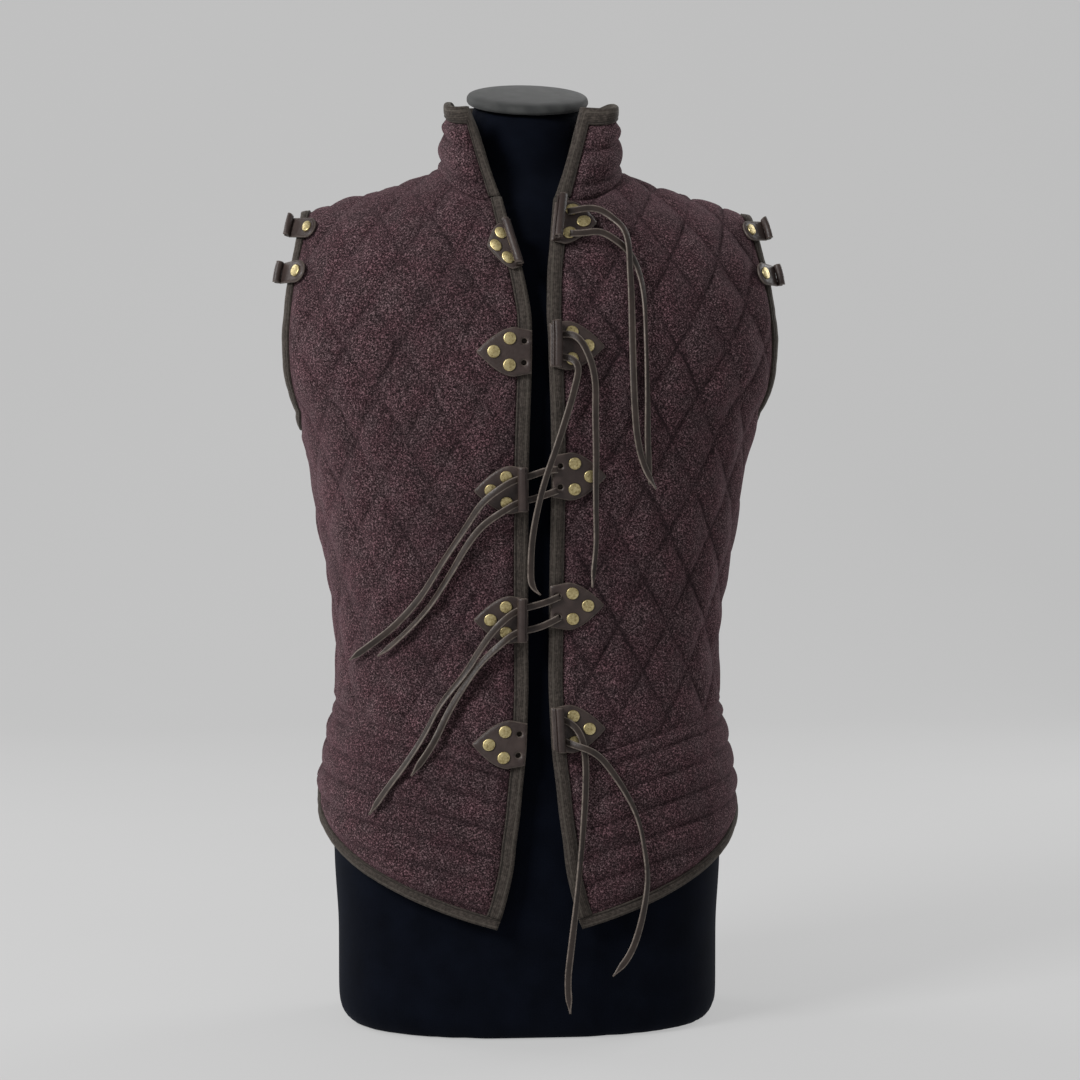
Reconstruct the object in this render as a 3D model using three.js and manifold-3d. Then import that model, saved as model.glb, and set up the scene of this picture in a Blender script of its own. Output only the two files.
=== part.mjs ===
// A quilted wool vest with a stand-up collar, bound edges and leather clasps, on a limbless dress form.
// Millimetres, +Z up, the front faces -Y. "left" and "right" are those of a viewer facing the front.
//
// Every cloth piece is cut flat and then worn. Its cut is an outline in pattern coordinates: s, the distance
// across from the centre line, and t, the distance up the cloth. A lattice slab trimmed to that outline is
// carried onto the worn surface, its inner points plain and its outer points raised between quilting lines.

import * as THREE from "three";
import { mergeVertices } from "three/addons/utils/BufferGeometryUtils.js";
import Module from "manifold-3d";

const wasm = await Module();
wasm.setup();

// ---- driving dimensions ----

const SEAM = 0.3; // gap between neighbouring pieces
const CLOTH = 3.6; // cloth and padding along a quilting line
const PUFF = 4.2; // how far the padding rises between the lines
const PUFF_EDGE = 9; // width over which the padding thins towards a seam
const DIAMOND = { width: 46, height: 80 };
const CHANNEL = 24; // spacing of the level quilting lines on the skirt
const ROUNDNESS = 2.45; // superellipse exponent of the level sections
const CROWN = 2.2; // superellipse exponent of the chest to shoulder curve

const CHEST = 545; // height where the level sections end and the shoulders begin
const ARMPIT = 538;
const SHOULDER = { tip: 202, height: 718, slope: 0.28, neckRise: 12, neckAt: 78, neckBlend: 7 };
const ARMHOLE_FLARE = 20; // how far the padded armhole edge stands out beyond the chest
const FLARE_SHAPE = 6.75; // makes k (1 - k)^2 reach 1 a third of the way up
const WAIST = { front: 232, side: 288, back: 276 }; // height of the waist seam round the body
const HEM = { front: 91, side: 203, back: 167 };
const NECK = { side: 74, frontHeight: 727, backHeight: 762, corner: 5 };
// The opening hangs to the left near the neck: how far at most, and the heights it grows between.
const NECK_SWING = { out: 9, low: 600, high: 750 };

const BINDING = { front: 12, hem: 10, armhole: 9, collar: 12 };
// across the strip from its folded edge, and the height above the lining side
const BINDING_SECTION = [[0, 0], [0, 4.8], [0.45, 6.3], [1, 4.6], [1, 0]];
const BINDING_HEIGHT = 6.3;

const COLLAR = { height: 64, lowLine: 11.5, highLine: 35, frontRise: 0.45 };
// From upright: outwards and backwards at its front ends, backwards behind, inwards at its sides.
const COLLAR_LEAN = { x: 0.37, y: 0.36, reach: 130, backwards: 0.06, inwards: 0.16 };

const TAB_LIFT = 8.4; // underside of a leather tab above the lining side of the cloth
const TAB_THICKNESS = 2.4;
const CLASP = { edgeHalf: 18, halfHeight: 20.5, shoulder: 17, length: 46, cell: 23 };
const CLASP_RIVETS = [[19, 11], [32, 0], [19, -11]]; // out from the front edge, up from the clasp's middle
const CLASP_EYELETS = [[7, 9], [7, -9]];
const CLASP_ROLL = { out: 6, radius: 4, halfLength: 19, clear: 4.9, walls: [-17.5, 0, 17.5] };
const SLEEVE_TAB = { halfWidth: 10, length: 27, rivet: 17, cell: 18 };
const SLEEVE_ROLL = { out: -5.5, radius: 3.4, halfLength: 9, clear: -0.8, walls: [] };
const ROLL_WALL = 2; // thickness of the leather that holds a roll clear of its tab
const SLEEVE_TABS = [{ name: "shoulder", along: 0.88 }, { name: "upper", along: 0.69 }];
const RIVET = { radius: 5.3, rise: 1.7, sides: 6 };
const EYELET = 2.6;

const LACE = { radius: 2.1, step: 16.8 }; // round, with the section of a flat lace 5.6 wide and 2.5 thick

// Laces, from their clasps to their free ends: across the front from the centre, up it, and lift off
// its inside.
const LACES = {
  lace_1_right_inner: [
    [30, 694, 15.2], [34, 694, 15.8], [40, 693, 17], [51, 695, 18.5], [64, 687, 18], [75, 678, 14.5],
    [82, 661, 13], [85, 643, 12], [86, 604, 12], [89, 552, 12], [90, 520, 12], [92, 482, 12],
  ],
  lace_1_right_outer: [
    [30, 714, 15.2], [34, 714, 15.8], [40, 716, 17], [54, 715, 18.5], [63, 707, 18], [69, 696, 23],
    [72, 683, 22.5], [74, 664, 15], [75, 643, 12], [75, 604, 12], [78, 552, 12], [81, 520, 13], [86, 498, 15],
    [95, 478, 19],
  ],
  lace_2_right_inner: [
    [14, 590, 13.2], [18, 590, 13.6], [23, 589, 16], [30, 584, 20], [28, 567, 16], [23, 547, 14],
    [13, 516, 19], [3, 488, 24], [-3, 462, 22], [-7, 435, 17], [-8, 409, 16], [-7, 394, 18], [0, 388, 22],
  ],
  lace_2_right_outer: [
    [14, 608, 13.2], [18, 608, 13.6], [23, 609, 16], [30, 605, 19.5], [38, 591, 20], [44, 572, 15],
    [45, 541, 14], [45, 512, 18], [45, 486, 18.5], [46, 460, 15], [47, 430, 13], [45, 409, 14], [43, 394, 19],
  ],
  lace_3_upper: [
    [14, 495, 13.3], [3, 494, 13.2], [-7, 490, 13.2], [-14, 488, 13.2], [-19, 487, 13.4], [-24, 485, 15.8],
    [-35, 478, 18], [-48, 467, 16.5], [-62, 445, 13], [-81, 415, 12], [-99, 385, 12], [-121, 360, 12],
    [-143, 343, 12], [-166, 328, 14],
  ],
  lace_3_lower: [
    [14, 477, 13.3], [3, 473, 13.2], [-6, 470, 13.2], [-14, 468, 13.2], [-19, 467, 13.4], [-24, 464, 15.8],
    [-35, 457, 18], [-48, 447, 14], [-60, 431, 13], [-75, 404, 12], [-93, 375, 12], [-117, 349, 12],
    [-136, 333, 13],
  ],
  lace_4_upper: [
    [17, 386, 13.3], [8, 382, 13.2], [-5, 378, 13.2], [-14, 376, 13.2], [-19, 374, 13.4], [-24, 371, 15.8],
    [-35, 361, 18], [-46, 346, 15.5], [-61, 321, 13], [-83, 292, 12], [-96, 267, 12], [-114, 239, 12],
    [-127, 222, 12], [-144, 197, 13],
  ],
  lace_4_lower: [
    [17, 368, 13.3], [8, 363, 13.2], [-5, 358, 13.2], [-13, 357, 13.1], [-20, 355, 13.2], [-26, 351, 16],
    [-35, 343, 17.5], [-48, 330, 15], [-62, 310, 13], [-76, 286, 12], [-89, 259, 12], [-107, 232, 13],
  ],
  lace_5_right_inner: [
    [17, 281, 13.2], [22, 280, 13.6], [27, 277, 16.5], [34, 267, 17.5], [38, 246, 13.5], [38, 219, 12.5],
    [36, 189, 12], [34, 165, 12], [31, 131, 12], [26, 86, 12], [23, 55, 12], [25, 28, 12],
  ],
  lace_5_right_outer: [
    [17, 263, 13.2], [22, 262, 13.6], [28, 259, 18], [38, 256, 22.5], [49, 249, 18.5], [61, 234, 14],
    [73, 215, 13], [83, 193, 12], [89, 163, 12], [91, 141, 12], [85, 103, 12], [75, 76, 12], [61, 59, 12],
  ],
};

// Level sections of the inside of the vest: half width, and depth before and behind the side seams.
const SECTIONS = [
  { height: 90, width: 180, front: 131, back: 118 },
  { height: 160, width: 184, front: 131, back: 124 },
  { height: 205, width: 183, front: 129, back: 124 },
  { height: 250, width: 176, front: 125, back: 116 },
  { height: 300, width: 168, front: 119, back: 104 },
  { height: 350, width: 168, front: 118, back: 98 },
  { height: 415, width: 177, front: 123, back: 101 },
  { height: 460, width: 185, front: 129, back: 108 },
  { height: 500, width: 191, front: 134, back: 115 },
  { height: 545, width: 204, front: 138, back: 120 },
];

// Front edges: distance from the centre front to the bound edge, going up the cloth.
const FRONT_EDGE = [
  { up: 90, out: 40 },
  { up: 131, out: 27 },
  { up: 175, out: 20 },
  { up: 222, out: 14.5 },
  { up: 275, out: 10 },
  { up: 350, out: 9 },
  { up: 510, out: 9.5 },
  { up: 605, out: 7 },
  { up: 647, out: 8.5 },
  { up: 691, out: 15.5 },
  { up: 733, out: 22.5 },
  { up: 790, out: 31 },
];

// Armhole edge: distance in from the side seam, going up from the armpit.
const ARMHOLE_EDGE = [
  { up: 0, front: 0, back: 0 },
  { up: 4, front: 22, back: 21 },
  { up: 20, front: 40, back: 37 },
  { up: 48, front: 50, back: 45 },
  { up: 88, front: 53, back: 46 },
  { up: 130, front: 51, back: 43 },
];

// Clasp heights at the front edge. A rolled clasp has its inner end folded into a loop for the lace.
const CLASPS = [
  { number: 1, left: 683, right: 704, leftRolled: true, rightRolled: true },
  { number: 2, left: 594, right: 600, leftRolled: false, rightRolled: true },
  { number: 3, left: 478, right: 489, leftRolled: true, rightRolled: false },
  { number: 4, left: 366, right: 377, leftRolled: true, rightRolled: false },
  { number: 5, left: 259, right: 272, leftRolled: false, rightRolled: true },
];
const SHORT_CLASPS = { left_1: 0.58, right_1: 0.75 }; // the top pair, as a share of the others' reach

// ---- materials ----

const wool = new THREE.MeshStandardMaterial({ color: 0x44303a, roughness: 0.95 });
const twill = new THREE.MeshStandardMaterial({ color: 0x45423a, roughness: 0.9 });
const leather = new THREE.MeshStandardMaterial({ color: 0x3b2e2a, roughness: 0.55 });
const lacing = new THREE.MeshStandardMaterial({ color: 0x4a3f3c, roughness: 0.6 });
const jersey = new THREE.MeshStandardMaterial({ color: 0x14161d, roughness: 0.85 });
const capCloth = new THREE.MeshStandardMaterial({ color: 0x4a4b4a, roughness: 0.8 });

// ---- small helpers ----

const object = new THREE.Group();

function add(name, geometry, material) {
  const mesh = new THREE.Mesh(geometry, material.clone());
  mesh.name = name;
  object.add(mesh);
}

function mix(a, b, k) {
  return a + (b - a) * k;
}

function range(from, to, count) {
  return Array.from({ length: count + 1 }, (_, i) => mix(from, to, i / count));
}

function counted(last) {
  return Array.from({ length: last + 1 }, (_, i) => i);
}

// A smooth curve through the rows of a table, level beyond its ends.
function curveThrough(rows, key, value) {
  const at = rows.map((row) => row[key]);
  const y = rows.map((row) => row[value]);
  const last = rows.length - 1;
  const slope = (i) => {
    const low = Math.max(i - 1, 0);
    const high = Math.min(i + 1, last);
    return (y[high] - y[low]) / (at[high] - at[low]);
  };
  return (x) => {
    if (x <= at[0]) return y[0];
    if (x >= at[last]) return y[last];
    const i = at.findIndex((_, j) => x < at[j + 1]);
    const width = at[i + 1] - at[i];
    const k = (x - at[i]) / width;
    const start = y[i] + slope(i) * width * k;
    const end = y[i + 1] - slope(i + 1) * width * (1 - k);
    return mix(start, end, k * k * (3 - 2 * k));
  };
}

function closedGeometry(positions, triangles) {
  const geometry = new THREE.BufferGeometry();
  geometry.setAttribute("position", new THREE.Float32BufferAttribute(positions, 3));
  geometry.setIndex(triangles);
  return geometry;
}

function bare(geometry) {
  const plain = geometry.clone();
  plain.deleteAttribute("normal");
  plain.deleteAttribute("uv");
  return mergeVertices(plain, 1e-4);
}

function toManifold(geometry) {
  const merged = bare(geometry);
  const vertProperties = new Float32Array(merged.attributes.position.array);
  const triVerts = new Uint32Array(merged.index.array);
  return new wasm.Manifold(new wasm.Mesh({ numProp: 3, vertProperties, triVerts }));
}

function fromManifold(manifold) {
  const mesh = manifold.getMesh();
  return closedGeometry(Array.from(mesh.vertProperties), Array.from(mesh.triVerts));
}

function joined(first, ...others) {
  let whole = toManifold(first);
  for (const other of others) whole = whole.add(toManifold(other));
  return fromManifold(whole);
}

// Turns all triangles round when they face inwards.
function facingOut(geometry) {
  const p = geometry.attributes.position;
  const index = Array.from(geometry.index.array);
  const [a, b, c] = [new THREE.Vector3(), new THREE.Vector3(), new THREE.Vector3()];
  let volume = 0;
  for (let i = 0; i < index.length; i += 3) {
    a.fromBufferAttribute(p, index[i]);
    b.fromBufferAttribute(p, index[i + 1]);
    c.fromBufferAttribute(p, index[i + 2]);
    volume += a.dot(b.cross(c));
  }
  if (volume < 0) {
    for (let i = 0; i < index.length; i += 3) [index[i], index[i + 1]] = [index[i + 1], index[i]];
    geometry.setIndex(index);
  }
  return geometry;
}

// A solid through loops of equally many points, ends capped, or joined end to start. A last loop that runs
// there and back along one line needs no cap.
function loft(loops, endToStart = false, closedLast = false) {
  const n = loops[0].length;
  const positions = loops.flat().flatMap((point) => [point.x, point.y, point.z]);
  const triangles = [];
  const spans = endToStart ? loops.length : loops.length - 1;
  for (let i = 0; i < spans; i += 1) {
    const next = (i + 1) % loops.length;
    for (let j = 0; j < n; j += 1) {
      const k = (j + 1) % n;
      triangles.push(i * n + j, i * n + k, next * n + k, i * n + j, next * n + k, next * n + j);
    }
  }
  if (!endToStart) {
    const end = (loops.length - 1) * n;
    for (let j = 1; j < n - 1; j += 1) {
      triangles.push(0, j + 1, j);
      if (!closedLast) triangles.push(end, end + j, end + j + 1);
    }
  }
  return facingOut(closedGeometry(positions, triangles));
}

// 0 to 1 as k goes from 0 to 1, starting with the given slope.
function bowed(k, slope) {
  return slope * k + (1 - slope) * k * k;
}

// ---- the worn surface ----

const widthAt = curveThrough(SECTIONS, "height", "width");

const FRONT = {
  sign: -1,
  tipInset: 50,
  depthAt: curveThrough(SECTIONS, "height", "front"),
  waistSeam: (s) => mix(WAIST.front, WAIST.side, bowed(s / sideSeam(FRONT, WAIST.side), 1.5)),
  hem: (s) => mix(HEM.front, HEM.side, bowed(s / sideSeam(FRONT, HEM.side), 0.45)),
  neckHeight: (x) => mix(NECK.frontHeight, ridgeHeight(NECK.side), (x / NECK.side) ** NECK.corner),
};

const BACK = {
  sign: 1,
  tipInset: 43,
  depthAt: curveThrough(SECTIONS, "height", "back"),
  waistSeam: (s) => mix(WAIST.back, WAIST.side, bowed(s / sideSeam(BACK, WAIST.side), 0)),
  hem: (s) => mix(HEM.back, HEM.side, bowed(s / sideSeam(BACK, HEM.side), 0)),
  neckHeight: (x) => mix(NECK.backHeight, ridgeHeight(NECK.side), (x / NECK.side) ** 2),
};

// Height of the shoulder line, rising towards the neck.
function ridgeHeight(x) {
  const rise = SHOULDER.neckRise / (1 + Math.exp((x - SHOULDER.neckAt) / SHOULDER.neckBlend));
  return SHOULDER.height + (SHOULDER.tip - x) * SHOULDER.slope + rise;
}

function arcTable(curve, count) {
  const rows = [{ angle: 0, reach: 0 }];
  let before = curve(0);
  for (let i = 1; i <= count; i += 1) {
    const angle = (i / count) * (Math.PI / 2);
    const point = curve(angle);
    rows.push({ angle, reach: rows[i - 1].reach + Math.hypot(point[0] - before[0], point[1] - before[1]) });
    before = point;
  }
  return rows;
}

function angleAt(rows, reach) {
  const last = rows.length - 1;
  if (reach <= 0) return 0;
  if (reach >= rows[last].reach) return Math.PI / 2;
  let low = 0;
  let high = last;
  while (high - low > 1) {
    const middle = (low + high) >> 1;
    if (rows[middle].reach <= reach) low = middle;
    else high = middle;
  }
  const k = (reach - rows[low].reach) / (rows[high].reach - rows[low].reach);
  return mix(rows[low].angle, rows[high].angle, k);
}

const power = (value, exponent) => Math.max(value, 0) ** exponent;

// One quarter of a level section: distance out to the side, and depth, at an angle from the centre line.
function sectionPoint(face, height, angle) {
  const x = widthAt(height) * power(Math.sin(angle), 2 / ROUNDNESS);
  const depth = face.depthAt(height) * power(Math.cos(angle), 2 / ROUNDNESS);
  return [x, depth];
}

const sectionArcs = new Map();

function sectionArc(face, height) {
  const key = `${face.sign} ${height.toFixed(3)}`;
  if (!sectionArcs.has(key)) sectionArcs.set(key, arcTable((angle) => sectionPoint(face, height, angle), 72));
  return sectionArcs.get(key);
}

// Distance along the cloth from the centre line to the side seam.
function sideSeam(face, height) {
  const rows = sectionArc(face, Math.min(height, CHEST));
  return rows[rows.length - 1].reach;
}

// Distance across the cloth of the shoulder tip.
function tipAcross(face) {
  return sideSeam(face, CHEST) - face.tipInset;
}

// Distance across the cloth of the point that is x from the middle at the shoulder seam.
function acrossAtRidge(face, x) {
  return (x * tipAcross(face)) / SHOULDER.tip;
}

// The climb from the chest up and over to the shoulder line, of one column of cloth.
function climb(face, s) {
  const reach = Math.abs(s);
  const [x, depth] = sectionPoint(face, CHEST, angleAt(sectionArc(face, CHEST), reach));
  const ridgeX = (reach * SHOULDER.tip) / tipAcross(face);
  const rise = ridgeHeight(ridgeX) - CHEST;
  const point = (a) => [depth * power(Math.cos(a), 2 / CROWN), rise * power(Math.sin(a), 2 / CROWN)];
  const rows = arcTable(point, 40);
  return { x, ridgeX, rise, point, rows, length: rows[rows.length - 1].reach };
}

// Top of the cloth at the shoulder seam.
function shoulderSeam(face, s) {
  return CHEST + climb(face, s).length;
}

// Pattern height of the point of a column that is at the given height above the ground.
function upAtHeight(face, s, height) {
  if (height <= CHEST) return height;
  const { rise, rows } = climb(face, s);
  const angle = Math.asin(Math.min((height - CHEST) / rise, 1) ** (CROWN / 2));
  const i = Math.min(Math.floor((angle / (Math.PI / 2)) * 40), 39);
  const k = (angle - rows[i].angle) / (rows[i + 1].angle - rows[i].angle);
  return CHEST + mix(rows[i].reach, rows[i + 1].reach, k);
}

function evenPoint(face, s, t) {
  const side = s < 0 ? -1 : 1;
  if (t <= CHEST) {
    const [x, depth] = sectionPoint(face, t, angleAt(sectionArc(face, t), Math.abs(s)));
    return new THREE.Vector3(side * x, face.sign * depth, t);
  }
  const { x, ridgeX, rows, point, length } = climb(face, s);
  const [depth, height] = point(angleAt(rows, t - CHEST));
  const k = Math.min((t - CHEST) / length, 1);
  const flare = ARMHOLE_FLARE * (x / widthAt(CHEST)) ** 2 * FLARE_SHAPE * k * (1 - k) ** 2;
  return new THREE.Vector3(side * (mix(x, ridgeX, k * k) + flare), face.sign * depth, CHEST + height);
}

function neckSwing(x, height) {
  const { out, low, high } = NECK_SWING;
  const near = Math.max(1 - (x / NECK.side) ** 2, 0) ** 2;
  return out * near * THREE.MathUtils.smoothstep(height, low, high);
}

// The same point with the front's opening hanging to one side.
function surfacePoint(face, s, t) {
  const point = evenPoint(face, s, t);
  if (face === FRONT) point.x -= neckSwing(point.x, point.z);
  return point;
}

// A place on the worn cloth, lifted off its inside: level below the chest, square to the cloth above it.
function worn(face) {
  return (s, t, lift) => {
    const tilt = THREE.MathUtils.smoothstep(t, CHEST, CHEST + 60);
    return lifted((a, b) => surfacePoint(face, a, b), s, t, lift, -face.sign, tilt);
  };
}

function lifted(surface, s, t, lift, turn, tilt) {
  const reach = 1;
  const across = surface(s + reach, t).sub(surface(s - reach, t));
  const up = surface(s, t + reach).sub(surface(s, t - reach));
  const normal = across.cross(up).normalize().multiplyScalar(turn);
  normal.z *= tilt;
  return surface(s, t).addScaledVector(normal.normalize(), lift);
}

// ---- cutting cloth ----

const SLAB_BOW = 0.01;
const PRISM = 400; // deeper than any bowed slab
const SIMPLER = 0.1; // a cut piece's corners that matter less than this are left out

// A slab over a lattice, its lower face of cells twice as large. Both faces are bowed away from the middle
// plane, so that no cut merges their cells.
function latticeSlab(low, high, step, diagonal) {
  const first = [0, 1].map((k) => Math.floor(low[k] / step[k]) - 1);
  const cells = [0, 1].map((k) => 2 * Math.ceil((Math.ceil(high[k] / step[k]) + 1 - first[k]) / 2));
  const positions = [];
  const triangles = [];
  const face = (stride, side) => {
    const start = positions.length / 3;
    const [columns, rows] = cells.map((count) => count / stride);
    const at = (i, j) => start + j * (columns + 1) + i;
    for (let j = 0; j <= rows; j += 1) {
      for (let i = 0; i <= columns; i += 1) {
        const [column, row] = [i * stride, j * stride];
        const bow = SLAB_BOW * (column * column + column * row + row * row);
        positions.push((first[0] + column) * step[0], (first[1] + row) * step[1], side * (1 + bow));
      }
    }
    for (let j = 0; j < rows; j += 1) {
      for (let i = 0; i < columns; i += 1) {
        const [a, b, c, d] = [at(i, j), at(i + 1, j), at(i + 1, j + 1), at(i, j + 1)];
        const rising = stride > 1 || diagonal(first[0] + i, first[1] + j);
        const pair = rising ? [[a, b, c], [a, c, d]] : [[a, b, d], [b, c, d]];
        for (const triangle of pair) triangles.push(...(side > 0 ? triangle : triangle.reverse()));
      }
    }
    const south = counted(columns).map((i) => at(i, 0));
    const east = counted(rows).map((j) => at(columns, j));
    const north = counted(columns).map((i) => at(i, rows)).reverse();
    const west = counted(rows).map((j) => at(0, j)).reverse();
    return [south, east, north, west];
  };
  const top = face(1, 1);
  const under = face(2, -1);
  top.forEach((edge, k) => {
    for (let i = 0; i < under[k].length - 1; i += 1) {
      const [a, b] = [under[k][i], under[k][i + 1]];
      const [c, d, e] = edge.slice(2 * i, 2 * i + 3);
      triangles.push(a, b, d, a, d, c, b, e, d);
    }
  });
  return closedGeometry(positions, triangles);
}

function prism(outline, holes = []) {
  const shape = new THREE.Shape(outline.map(([s, t]) => new THREE.Vector2(s, t)));
  for (const hole of holes) shape.holes.push(new THREE.Path(hole.map(([s, t]) => new THREE.Vector2(s, t))));
  const geometry = new THREE.ExtrudeGeometry(shape, { depth: PRISM, bevelEnabled: false });
  return geometry.translate(0, 0, -PRISM / 2);
}

function edgeDistance(outline, s, t) {
  let nearest = Infinity;
  outline.forEach(([s0, t0], i) => {
    const [s1, t1] = outline[(i + 1) % outline.length];
    const [ds, dt] = [s1 - s0, t1 - t0];
    const k = THREE.MathUtils.clamp(((s - s0) * ds + (t - t0) * dt) / (ds * ds + dt * dt || 1), 0, 1);
    nearest = Math.min(nearest, Math.hypot(s - s0 - k * ds, t - t0 - k * dt));
  });
  return nearest;
}

// A piece cut to an outline and carried onto a surface: its inside at one lift, its outside at another.
function cutPiece({ outline, holes, step, diagonal = () => true, place, inside = () => 0, outside }) {
  const low = [0, 1].map((k) => Math.min(...outline.map((point) => point[k])));
  const high = [0, 1].map((k) => Math.max(...outline.map((point) => point[k])));
  const slab = toManifold(latticeSlab(low, high, step, diagonal));
  const flat = slab.intersect(toManifold(prism(outline, holes))).getMesh();
  const positions = [];
  for (let i = 0; i < flat.vertProperties.length; i += 3) {
    const [s, t, side] = flat.vertProperties.slice(i, i + 3);
    const lift = side > 0 ? outside(s, t) : inside(s, t);
    const point = place(s, t, lift);
    positions.push(point.x, point.y, point.z);
  }
  const shaped = facingOut(closedGeometry(positions, Array.from(flat.triVerts)));
  return fromManifold(toManifold(shaped).simplify(SIMPLER));
}

const fraction = (value) => value - Math.floor(value);
const pillow = (a) => Math.sin(Math.PI * a);

// Height of the outside above the inside of quilted cloth, thinning to the plain cloth at the outline.
function padded(outline, pattern) {
  return (s, t) => {
    const edge = THREE.MathUtils.smoothstep(edgeDistance(outline, s, t), 0, PUFF_EDGE);
    return CLOTH + PUFF * pattern(s, t) * edge;
  };
}

function diamonds(s, t) {
  const rising = fraction(s / DIAMOND.width + t / DIAMOND.height);
  const falling = fraction(s / DIAMOND.width - t / DIAMOND.height);
  return (pillow(rising) * pillow(falling)) ** 0.6;
}

// Lattices whose cell diagonals follow the quilting lines where one crosses the cell: four cells to the height
// of a diamond, or two.
const FINE = {
  step: [DIAMOND.width / 4, DIAMOND.height / 4],
  diagonal: (i, j) => (((i - j) % 4) + 4) % 4 === 0 || (((i + j + 1) % 4) + 4) % 4 !== 0,
};
const COARSE = {
  step: [DIAMOND.width / 2, DIAMOND.height / 2],
  diagonal: (i, j) => (i + j) % 2 === 0,
};

// ---- edges and seams ----

const frontEdge = curveThrough(FRONT_EDGE, "up", "out");

const mirrored = (outline) => outline.map(([s, t]) => [-s, t]).reverse();

function neckUp(face, s) {
  return upAtHeight(face, s, face.neckHeight((s * SHOULDER.tip) / tipAcross(face)));
}

// Neckline, as pattern points from the middle of the face to the shoulder seam.
function neckline(face, from) {
  const to = acrossAtRidge(face, NECK.side);
  return range(0, 1, 10).map((k) => {
    const s = mix(from, to, k ** 0.7);
    const up = k === 1 ? shoulderSeam(face, s) : neckUp(face, s);
    return [s, up];
  });
}

// Height up the cloth where the front edge meets the neckline.
function frontNeckUp() {
  let up = 740;
  for (let i = 0; i < 20; i += 1) {
    up = neckUp(FRONT, frontEdge(up));
  }
  return up;
}

const FRONT_NECK_UP = frontNeckUp();

// Armhole edge of one face from the armpit to the shoulder tip, with the binding's inner edge beside it.
function armholeEdge(face) {
  const column = face === FRONT ? "front" : "back";
  const tip = tipAcross(face);
  const points = ARMHOLE_EDGE.map((row) => {
    const up = ARMPIT + row.up;
    return new THREE.Vector2(sideSeam(face, up) - row[column], up);
  });
  points.push(new THREE.Vector2(tip, shoulderSeam(face, tip)));
  const curve = new THREE.SplineCurve(points);
  const count = 16;
  return range(0, 1, count).map((k, i) => {
    const outer = curve.getPointAt(k);
    const tangent = curve.getTangentAt(k);
    const width = BINDING.armhole;
    const inner = new THREE.Vector2(outer.x - tangent.y * width, outer.y + tangent.x * width);
    if (i === 0) inner.set(sideSeam(face, outer.y - BINDING.armhole), outer.y - BINDING.armhole);
    if (i === count) {
      const s = acrossAtRidge(face, SHOULDER.tip - BINDING.armhole);
      inner.set(s, shoulderSeam(face, s));
    }
    return { outer: [outer.x, outer.y], inner: [inner.x, inner.y] };
  });
}

// The inner edge of a binding, one seam gap further in.
function beside({ outer, inner }) {
  const length = Math.hypot(inner[0] - outer[0], inner[1] - outer[1]);
  const k = 1 + SEAM / length;
  return [mix(outer[0], inner[0], k), mix(outer[1], inner[1], k)];
}

function frontBodyOutline() {
  const face = FRONT;
  const inner = (t) => frontEdge(t) + BINDING.front + SEAM;
  const low = inner(face.waistSeam(20));
  const side = sideSeam(face, WAIST.side) - SEAM / 2;
  const waist = range(low, side, 18).map((s) => [s, face.waistSeam(s) + SEAM / 2]);
  const armhole = armholeEdge(face).map(beside);
  const sideTop = armhole[0][1];
  const rising = range(face.waistSeam(side), sideTop, 6).slice(1);
  const seam = rising.map((t) => [sideSeam(face, t) - SEAM / 2, t]);
  const tip = armhole[armhole.length - 1][0];
  const neck = neckline(face, inner(FRONT_NECK_UP)).reverse();
  const ridge = range(tip, neck[0][0], 16).slice(0, -1);
  const shoulder = ridge.map((s) => [s, shoulderSeam(face, s) - SEAM / 2]);
  const neckEdge = neck.map(([s, t]) => [s, t - SEAM / 2]);
  const neckLow = neckEdge[neckEdge.length - 1][1];
  const edge = range(neckLow, face.waistSeam(low), 20).slice(1, -1).map((t) => [inner(t), t]);
  return [...waist, ...seam, ...armhole.slice(1, -1), ...shoulder, ...neckEdge, ...edge];
}

// Back body, whole: the right half from the centre back, then its mirror image.
function backBodyOutline() {
  const face = BACK;
  const side = sideSeam(face, WAIST.side) - SEAM / 2;
  const waist = range(0, side, 16).map((s) => [s, face.waistSeam(s) + SEAM / 2]);
  const armhole = armholeEdge(face).map(beside);
  const sideTop = armhole[0][1];
  const rising = range(face.waistSeam(side), sideTop, 6).slice(1);
  const seam = rising.map((t) => [sideSeam(face, t) - SEAM / 2, t]);
  const tip = armhole[armhole.length - 1][0];
  const neck = neckline(face, 0).reverse();
  const ridge = range(tip, neck[0][0], 16).slice(0, -1);
  const shoulder = ridge.map((s) => [s, shoulderSeam(face, s) - SEAM / 2]);
  const neckEdge = neck.map(([s, t]) => [s, t - SEAM / 2]);
  const half = [...waist, ...seam, ...armhole.slice(1, -1), ...shoulder, ...neckEdge];
  return [...half, ...mirrored(half).slice(1, -1)];
}

// ---- body ----

function bodyPanel(face, outline, lattice) {
  return cutPiece({
    outline,
    ...lattice,
    place: worn(face),
    outside: padded(outline, diamonds),
  });
}

const rightFront = frontBodyOutline();
add("front_right", bodyPanel(FRONT, rightFront, FINE), wool);
add("front_left", bodyPanel(FRONT, mirrored(rightFront), FINE), wool);
add("back", bodyPanel(BACK, backBodyOutline(), COARSE), wool);

// ---- skirt: cut with its second coordinate down from the waist seam ----

function skirtPlace(face) {
  const place = worn(face);
  return (s, down, lift) => place(s, face.waistSeam(Math.abs(s)) - down, lift);
}

function channels(s, down) {
  const lines = fraction((down - CHANNEL / 2) / CHANNEL);
  return pillow(lines) ** 0.7;
}

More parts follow.
